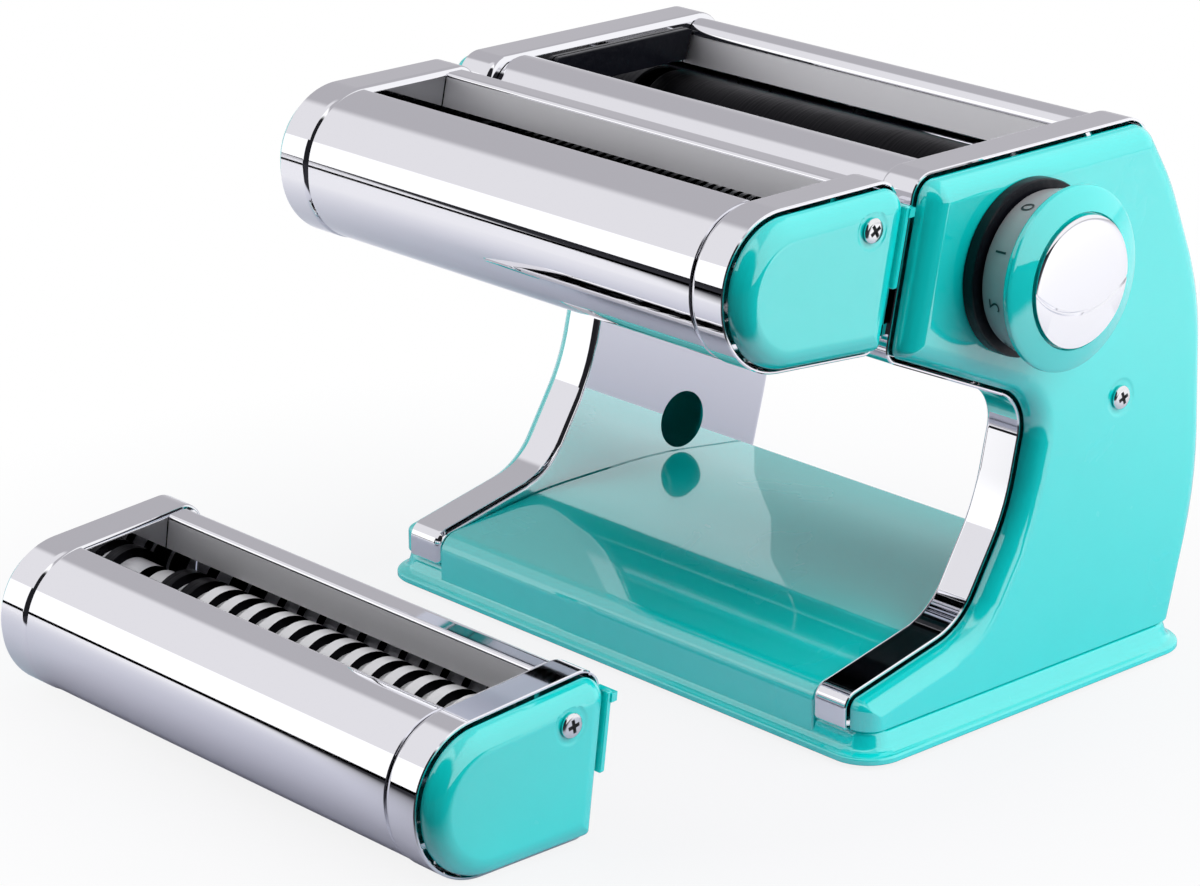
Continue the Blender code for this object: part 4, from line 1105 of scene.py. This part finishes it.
def head_plate(which):
    near = (MOUTH_REAR + PLATE_NEAR, PLATE_TOP - PLATE_NEAR)
    far = (MOUTH_REAR + 8.0 - PLATE_FAR, PLATE_TOP - PLATE_FAR)
    points = [(MOUTH_REAR - 1.8, 149.6)] + arc(near, PLATE_NEAR, 180, 90, 8)
    points += arc(far, PLATE_FAR, 90, 0, 14)
    for z in (PLATE_TOP - 7.0, PLATE_TOP - 13.0, HEAD_LOW + 24.0, HEAD_LOW + 6.0):
        points.append((HEAD_REAR_TOP - 1.0 - tan(LEAN) * (HEAD_TOP - z), z))
    plate = long_sheet(which + "_plate", points, SHEET, HEAD_HALF)
    satin_below(plate, MOUTH_REAR + 0.4, PLATE_TOP - 1.4)
    return plate


for which, pose in HEADS.items():
    shell, plate = head_shell(which), head_plate(which)
    place_piece(shell, BODIES[which], [which + "_front_shell"], pose)
    place_piece(plate, BODIES[which], [which + "_back_plate"], pose)

# %% [markdown]
# ## Cutter rolls with Geometry Nodes
# A cutter is a shaft with a row of equal rings, so one tree makes them all: a line of
# points along X, a ring on each point, and a core through them. Fine cutters have many
# thin rings, wide ones a few broad rings. Opposite rolls are moved by half a pitch, so
# that the rings of one run in the grooves of the other.

# %% Geometry tree helpers
GEOMETRY = "NodeSocketGeometry"
MATERIAL = "NodeSocketMaterial"


def new_tree(name, inputs):
    tree = bpy.data.node_groups.new(name, "GeometryNodeTree")
    add_inputs(tree, {"Geometry": GEOMETRY, **inputs})
    tree.interface.new_socket(name="Geometry", in_out="OUTPUT", socket_type=GEOMETRY)
    return tree, add_node(tree, "NodeGroupInput"), add_node(tree, "NodeGroupOutput")


def made_real(tree, start, spread, finish):
    """Real copies of the spread instances, in the finish that the tree's input gives."""
    real = add_node(tree, "GeometryNodeRealizeInstances")
    coat = add_node(tree, "GeometryNodeSetMaterial")
    wire(
        tree,
        (spread, "Instances", real, "Geometry"), (real, "Geometry", coat, "Geometry"),
        (start, finish, coat, "Material"),
    )
    return coat


def run_tree(name, tree, values, points=((0, 0, 0),)):
    """Runs a tree on a few points and returns the result as a plain mesh object."""
    mesh = bpy.data.meshes.new(name)
    mesh.from_pydata([tuple(p) for p in points], [], [])
    holder = add_object(name, mesh)
    step = holder.modifiers.new("Shape", "NODES")
    step.node_group = tree
    for item in tree.interface.items_tree:
        if item.item_type == "SOCKET" and item.in_out == "INPUT" and item.name in values:
            step[item.identifier] = values[item.name]
    bake_modifiers(holder)
    # What a tree copies has no finish until Set Material, and leaves an empty slot in front.
    slots = holder.data.materials
    while slots and slots[0] is None:
        slots.pop(index=0)
    return holder


# %% The tree of a cutter roll
ALONG_X = {"Rotation": (0, pi / 2, 0)}


def build_cutter_tree():
    tree, start, end = new_tree("cutter_roll", {
        "Rings": 10, "Pitch": 8.0, "First": (0, 0, 0), "Ring Radius": 11.0, "Ring Width": 4.0,
        "Core Radius": 8.0, "Core Length": 150.0, "Core Middle": (0, 0, 0),
        "Ring Finish": MATERIAL, "Core Finish": MATERIAL,
    })
    step = add_node(tree, "ShaderNodeCombineXYZ")
    line = add_node(tree, "GeometryNodeMeshLine", mode="OFFSET")
    ring = add_node(tree, "GeometryNodeMeshCylinder", {"Vertices": 40})
    core = add_node(tree, "GeometryNodeMeshCylinder", {"Vertices": 48})
    spread = add_node(tree, "GeometryNodeInstanceOnPoints", ALONG_X)
    move = add_node(tree, "GeometryNodeTransform", ALONG_X)
    core_coat = add_node(tree, "GeometryNodeSetMaterial")
    ring_coat = made_real(tree, start, spread, "Ring Finish")
    whole = add_node(tree, "GeometryNodeJoinGeometry")
    wire(
        tree,
        (start, "Pitch", step, "X"), (start, "Rings", line, "Count"),
        (start, "First", line, "Start Location"), (step, "Vector", line, "Offset"),
        (start, "Ring Radius", ring, "Radius"), (start, "Ring Width", ring, "Depth"),
        (line, "Mesh", spread, "Points"), (ring, "Mesh", spread, "Instance"),
        (start, "Core Radius", core, "Radius"), (start, "Core Length", core, "Depth"),
        (core, "Mesh", move, "Geometry"), (start, "Core Middle", move, "Translation"),
        (move, "Geometry", core_coat, "Geometry"), (start, "Core Finish", core_coat, "Material"),
        (core_coat, "Geometry", whole, "Geometry"), (ring_coat, "Geometry", whole, "Geometry"),
        (whole, "Geometry", end, "Geometry"),
    )
    return tree


cutter_tree = build_cutter_tree()
print("nodes of the cutter tree", len(cutter_tree.nodes))

# %% Cutter rolls: painted shade darkens the cores, the ring sides, the front roll's rings and the rear roll's rims up to one place along it, past which the rims are bright
FINE_CUTTER = {"pitch": 3.4, "width": 1.7, "radius": 10.9, "core": 9.4, "lit_from": 12.0}
WIDE_CUTTER = {"pitch": 8.8, "width": 4.1, "radius": 11.4, "core": 8.6, "lit_from": -52.0}
ROLL_HALF = HEAD_HALF - 2.0
HEAD_SOCKET = 2.9


def ring_line(name, y, cutter, second):
    pitch, core = cutter["pitch"], cutter["core"]
    count = int((2 * ROLL_HALF - pitch) / pitch)
    first = -count * pitch / 2 + (pitch / 2 if second else 0) + 0.25 * pitch
    # The front roll's rings are all painted shade; only the rear roll's can be bright.
    ring_finish = ring_steel if second else shade_steel
    rolls = run_tree(name + "_rings", cutter_tree, {
        "Rings": count, "Pitch": pitch, "First": (first, y, CUTTER_HEIGHT),
        "Ring Radius": cutter["radius"], "Ring Width": cutter["width"], "Core Radius": core,
        "Core Length": 2 * ROLL_HALF, "Core Middle": (0.0, y, CUTTER_HEIGHT),
        "Ring Finish": ring_finish, "Core Finish": shade_steel,
    })
    smooth(rolls.data)
    finishes = list(rolls.data.materials)
    dark, bright = finishes.index(shade_steel), finishes.index(ring_finish)
    # Painted shade: every face but an outer rim past the lit place along the roll takes the
    # near-black steel.
    for face in rolls.data.polygons:
        rim = face.center.x > cutter["lit_from"] and abs(face.normal.x) < 0.5
        outer = abs(face.center.z - CUTTER_HEIGHT) + abs(face.center.y - y) > core + 0.2
        face.material_index = bright if rim and outer else dark
    return rolls


def cutter_roll(name, y, cutter, second):
    left_end = -HEAD_CAP_FACE + 1.5 if second else -HEAD_WEB - 8.8
    right_end = HEAD_WEB + 4.0
    shaft = turned(name + "_shaft", [
        (right_end, 0), (right_end, 4.1), (right_end - 0.4, CUTTER_SHAFT),
        (ROLL_HALF - 1, CUTTER_SHAFT), (-HEAD_WEB - 2.0, CUTTER_SHAFT), (-HEAD_WEB - 2.0, 3.7),
        (left_end, 3.7), (left_end, 0),
    ], (y, CUTTER_HEIGHT), steel, 40)
    if second:
        six_sided(shaft, (y, CUTTER_HEIGHT), HEAD_SOCKET, left_end - 1, left_end + 8, steel)
    return joined(name, [ring_line(name, y, cutter, second), shaft])


for which, cutter in (("head", FINE_CUTTER), ("spare", WIDE_CUTTER)):
    for end_name, y in (("front", CUTTER_FRONT), ("rear", CUTTER_REAR[which])):
        roll = f"{which}_{end_name}"
        piece = cutter_roll(roll + "_roll_piece", y, cutter, end_name == "rear")
        place_piece(piece, roll + "_roll", [roll + "_cutter"], HEADS[which], False)

# %% [markdown]
# ## Screws with Geometry Nodes
# Each cover is held by a round-headed screw with a cross. One head is turned and the cross
# is cut into it. The tree then sets a copy on each point and turns those of the left side
# round. A black disc in the head is painted shade on the floor of the cross.

# %% One screw head
def screw_head():
    profile = [
        (1.1, 0), (1.08, 1.6), (1.0, 2.5), (0.8, 3.05), (0.45, 3.35), (0.1, 3.4), (0.0, 3.35),
        (0.0, 1.8), (-5.0, 1.8), (-5.0, 0),
    ]
    head = turned("screw_head", profile, (0.0, 0.0), screw_steel, 48)
    for wide, tall in ((2.1, 0.6), (0.6, 2.1)):
        points = [(-wide, -tall), (-wide, tall), (wide, tall), (wide, -tall)]
        small = [(a * 0.8, b * 0.8) for a, b in points]
        cut_away(head, loft("cross", [(0.0, small), (2.2, points)], screw_steel))
    return head


def build_screw_tree():
    tree, start, end = new_tree("screws_on_points", {
        "Screw": "NodeSocketObject", "Turn": 0.2, "Finish": MATERIAL,
    })
    info = add_node(tree, "GeometryNodeObjectInfo")
    where = add_node(tree, "GeometryNodeInputPosition")
    split = add_node(tree, "ShaderNodeSeparateXYZ")
    left = add_node(tree, "ShaderNodeMath", operation="LESS_THAN")
    half_turn = add_node(tree, "ShaderNodeMath", operation="MULTIPLY")
    half_turn.inputs[1].default_value = pi
    euler = add_node(tree, "ShaderNodeCombineXYZ")
    spread = add_node(tree, "GeometryNodeInstanceOnPoints")
    wire(
        tree,
        (start, "Screw", info, "Object"), (where, "Position", split, "Vector"),
        (split, "X", left, 0), (left, "Value", half_turn, 0), (start, "Turn", euler, "X"),
        (half_turn, "Value", euler, "Z"), (start, "Geometry", spread, "Points"),
        (info, "Geometry", spread, "Instance"), (euler, "Vector", spread, "Rotation"),
        (made_real(tree, start, spread, "Finish"), "Geometry", end, "Geometry"),
    )
    return tree


# %% A pair of screws on each set of covers
one_screw = screw_head()
screw_tree = build_screw_tree()


def screw_pair(name, body, face, place_yz, turn_by, replaced, pose=None):
    x = face - 0.1
    points = [(x, *place_yz), (-x, *place_yz)]
    values = {"Screw": one_screw, "Turn": turn_by, "Finish": screw_steel}
    pair = run_tree(name, screw_tree, values, points)
    smooth(pair.data)
    # A black disc under the cross: painted shade on the floor of the recess.
    disc = [(x + 0.3, 0), (x + 0.3, 2.4), (x + 0.1, 2.4), (x + 0.1, 0)]
    floor = turned(name + "_floor", disc, place_yz, black_plastic_and_shade, 24)
    pair = joined(name, [pair, floor, mirror_copy(floor, name + "_floor_left")])
    replaced = [replaced + "_screw_" + side for side in ("left", "right")]
    place_piece(pair, body, replaced, pose, False)


screw_pair("stand_screws", "stand", COVER_FACE, COVER_SCREW, 0.35, "cover")
screw_pair("head_screws", "cutter_head", HEAD_CAP_FACE, HEAD_SCREW, 0.5, "head_cap")
screw_pair("spare_screws", "spare_head", HEAD_CAP_FACE, HEAD_SCREW, 0.1, "spare_cap", spare_pose)
bpy.data.objects.remove(one_screw, do_unlink=True)

# %% [markdown]
# ## Rubber feet with Geometry Nodes
# Four equal feet under the lip keep the machine from sliding.

# %% Feet
FOOT_RADIUS = 8.0
FOOT_HEIGHT = 7.2


def build_feet_tree():
    tree, start, end = new_tree("feet_on_points", {
        "Radius": FOOT_RADIUS, "Height": FOOT_HEIGHT, "Finish": MATERIAL,
    })
    body = add_node(tree, "GeometryNodeMeshCylinder", {"Vertices": 48, "Side Segments": 3})
    spread = add_node(tree, "GeometryNodeInstanceOnPoints")
    wire(
        tree,
        (start, "Radius", body, "Radius"), (start, "Height", body, "Depth"),
        (start, "Geometry", spread, "Points"), (body, "Mesh", spread, "Instance"),
        (made_real(tree, start, spread, "Finish"), "Geometry", end, "Geometry"),
    )
    return tree


foot_points = [(x, y, FOOT_HEIGHT / 2) for x in (-84.7, 84.7) for y in (-56.0, 45.0)]
foot_values = {"Radius": FOOT_RADIUS, "Height": FOOT_HEIGHT, "Finish": rubber}
feet = run_tree("feet", build_feet_tree(), foot_values, foot_points)
soften(feet, 0.7)
smooth(feet.data, 40)
foot_nodes = [f"foot_{end}_{side}" for end in ("front", "rear") for side in ("left", "right")]
place_piece(feet, "stand", foot_nodes, even=False)

# %% [markdown]
# ## Pieces kept from the solids
# Gears, bushes, eccentrics, scrapers, combs and the spring are small or hidden, and their
# solids already have the right shape. They keep it and only get their finish.

# %% Finishes of the kept solids
def kept_finish(name):
    if "gear" in name or "bush" in name:
        return brass
    if "scraper" in name:
        return black_plastic_and_shade
    return steel


kept = [name for name, node in nodes.items() if not node.hide_render]
for name in kept:
    mesh = nodes[name].data
    mesh.materials.clear()
    mesh.materials.append(kept_finish(name))
print("kept solids", len(kept), sorted(kept))

# %% [markdown]
# ## The studio
# Chrome and gloss show the room, so the room is made for them. A white wall stands behind
# the right side and a white tent in front of the left side. The wall at the back left is
# grey, and the side where the camera stands is dark. The table looks nearly white to the
# camera and keeps the object's own shadow, and a painted shadow darkens it near the object.
# In reflections alone, a band of painted shade darkens it in front.

# %% A mask that is 1 where a vector points toward a given side, and a colour through it
def rgb(colour):
    return (*colour, 1.0)


def plain_colour(tree, colour):
    node = add_node(tree, "ShaderNodeRGB")
    node.outputs[0].default_value = rgb(colour)
    return node, 0


def toward(tree, vector, side, low, high):
    along = add_node(tree, "ShaderNodeVectorMath", operation="DOT_PRODUCT")
    along.inputs[1].default_value = side
    limits = {"From Min": low, "From Max": high}
    span = add_node(tree, "ShaderNodeMapRange", limits, interpolation_type="SMOOTHSTEP")
    wire(tree, (*vector, along, 0), (along, "Value", span, "Value"))
    return span, "Result"


def painted(tree, under, mask, colour):
    layer = add_node(tree, "ShaderNodeMix", data_type="RGBA")
    layer.inputs[7].default_value = rgb(colour)
    wire(tree, (*mask, layer, 0), (*under, layer, 6))
    return layer, 2


# %% Table
TABLE_RADIUS = 4.0
# Painted shadow: the table's tone is darkest near the object and fades to the far tone.
TABLE_SHADOW_TONE = (0.56, 0.57, 0.66)
TABLE_FAR = (0.87, 0.87, 0.89)
# Painted shade in front of the object, which only reflections and bounced light see.
TABLE_FRONT_SHADE = (0.03, 0.03, 0.035)
TABLE_FADE = {"From Min": 0.12, "From Max": 0.46}
WHITE_SHARE = {"From Min": 0.12, "From Max": 0.28, "To Min": 0.86, "To Max": 1.0}
WHITE = (1.0, 1.0, 1.0)


def table_material():
    material = bpy.data.materials.new("pale_table")
    material.use_nodes = True
    tree = material.node_tree
    tree.nodes.clear()
    spot = add_node(tree, "ShaderNodeTexCoord")
    seen = add_node(tree, "ShaderNodeLightPath")
    away = add_node(tree, "ShaderNodeVectorMath", operation="LENGTH")
    reach = add_node(tree, "ShaderNodeMapRange", TABLE_FADE)
    tone = painted(tree, plain_colour(tree, TABLE_SHADOW_TONE), (reach, "Result"), TABLE_FAR)
    unseen = add_node(tree, "ShaderNodeMath", operation="SUBTRACT")
    unseen.inputs[0].default_value = 1.0
    # The front of the table is painted dark for every ray but the camera's.
    hidden_front = add_node(tree, "ShaderNodeMath", operation="MULTIPLY")
    front = toward(tree, (spot, "Object"), (0.60, -0.80, 0.0), 0.14, 0.20)
    tone = painted(tree, tone, (hidden_front, "Value"), TABLE_FRONT_SHADE)
    share = add_node(tree, "ShaderNodeMapRange", WHITE_SHARE)
    matt = add_node(tree, "ShaderNodeBsdfDiffuse")
    light = add_node(tree, "ShaderNodeEmission", {"Color": rgb(WHITE)})
    weight = add_node(tree, "ShaderNodeMath", operation="MULTIPLY")
    blend = add_node(tree, "ShaderNodeMixShader")
    end = add_node(tree, "ShaderNodeOutputMaterial")
    wire(
        tree,
        (spot, "Object", away, 0), (away, "Value", share, "Value"),
        (away, "Value", reach, "Value"), (seen, "Is Camera Ray", unseen, 1),
        (unseen, "Value", hidden_front, 0), (*front, hidden_front, 1), (*tone, matt, "Color"),
        (seen, "Is Camera Ray", weight, 0), (share, "Result", weight, 1),
        (weight, "Value", blend, 0), (matt, "BSDF", blend, 1), (light, "Emission", blend, 2),
        (blend, "Shader", end, "Surface"),
    )
    return material


work = bmesh.new()
bmesh.ops.create_circle(work, cap_ends=True, segments=96, radius=TABLE_RADIUS)
new_piece("table", mesh_of(work, "table"), table_material())
print("table radius", TABLE_RADIUS, "m")

# %% Tent
WALL_GREY = (0.46, 0.45, 0.48)
PAINTED_SIDES = [
    # the side, from where to where it fades in, and its colour
    ((0.0, 0.0, -1.0), -0.4, 0.0, (0.56, 0.55, 0.58)),
    ((0.64, 0.77, 0.0), 0.30, 0.42, (0.98, 0.98, 1.0)),
    ((0.0, -1.0, 0.0), 0.16, 0.26, (1.12, 1.12, 1.13)),
    ((0.375, -0.927, 0.0), 0.46, 0.58, (0.015, 0.015, 0.018)),
]


def make_tent():
    world = bpy.data.worlds.new("studio_tent")
    bpy.context.scene.world = world
    world.use_nodes = True
    tree = world.node_tree
    tree.nodes.clear()
    way = (add_node(tree, "ShaderNodeTexCoord"), "Generated")
    room = plain_colour(tree, WALL_GREY)
    for side, low, high, colour in PAINTED_SIDES:
        room = painted(tree, room, toward(tree, way, side, low, high), colour)
    shade = add_node(tree, "ShaderNodeBackground")
    white = add_node(tree, "ShaderNodeBackground", {"Color": rgb(WHITE)})
    seen = add_node(tree, "ShaderNodeLightPath")
    blend = add_node(tree, "ShaderNodeMixShader")
    end = add_node(tree, "ShaderNodeOutputWorld")
    wire(
        tree,
        (*room, shade, "Color"), (seen, "Is Camera Ray", blend, "Fac"),
        (shade, "Background", blend, 1), (white, "Background", blend, 2),
        (blend, "Shader", end, "Surface"),
    )


make_tent()
print("painted sides of the room", len(PAINTED_SIDES))

# %% Cards that only reflections see
# A dark gap at the foot of the tent shows in chrome as one thin line. A pale sheet over the
# left side ends above the object, and gives the shells their second, softer edge.
GAP_DISTANCE = 0.62
GAP_HEIGHT = 0.036
SHEET_HEIGHT = 0.6
SHEET_EDGE = 0.017
SHEET_FADE = 0.10


def make_card(name, corners, colour, fade=None):
    work = bmesh.new()
    work.faces.new([work.verts.new(corner) for corner in corners])
    material, tree, shader = new_material(name, (0.0, 0.0, 0.0), 0.0, specular=0.0)
    shader.inputs["Roughness"].default_value = 1.0
    shader.inputs["Emission Color"].default_value = rgb(colour)
    shader.inputs["Emission Strength"].default_value = 1.0
    if fade:
        spot = (add_node(tree, "ShaderNodeTexCoord"), "Object")
        inside = toward(tree, spot, (0.0, -1.0, 0.0), *fade)
        soft = painted(tree, plain_colour(tree, WALL_GREY), inside, colour)
        wire(tree, (*soft, shader, "Emission Color"))
    card = new_piece(name, mesh_of(work, name), material)
    card.visible_camera = False
    card.visible_shadow = False


make_card("tent_gap", [
    (-1.6, -GAP_DISTANCE, 0.001), (-0.2, -GAP_DISTANCE, 0.001),
    (-0.2, -GAP_DISTANCE, GAP_HEIGHT), (-1.6, -GAP_DISTANCE, GAP_HEIGHT),
], (0.0, 0.0, 0.0))
make_card("tent_sheet", [
    (-1.4, -0.9, SHEET_HEIGHT), (-0.05, -0.9, SHEET_HEIGHT),
    (-0.05, SHEET_EDGE, SHEET_HEIGHT), (-1.4, SHEET_EDGE, SHEET_HEIGHT),
], (0.80, 0.79, 0.82), (-SHEET_EDGE, -SHEET_EDGE + SHEET_FADE))

# %% Lamps: one wide soft box above the back right, one dim one from the left
AIM = Vector((0, 0, 0.08))


def soft_box(name, spot, power, size):
    lamp = bpy.data.lights.new(name, "AREA")
    lamp.shape = "RECTANGLE"
    lamp.size, lamp.size_y = size
    lamp.energy = power
    holder = add_object(name, lamp)
    holder.location = spot
    holder.visible_glossy = False
    holder.rotation_euler = (AIM - Vector(spot)).to_track_quat("-Z", "Y").to_euler()


soft_box("key_box", (1.2, 0.5, 1.0), 14.0, (1.4, 1.2))
soft_box("fill_box", (-0.9, -1.0, 1.2), 7.0, (1.0, 1.0))
print("lamps", [lamp.name for lamp in bpy.data.lights])

# %% [markdown]
# ## The view
# The view is left plain, so that colours come out as they are written.

# %% View
settings = bpy.context.scene.view_settings
settings.view_transform = "Standard"
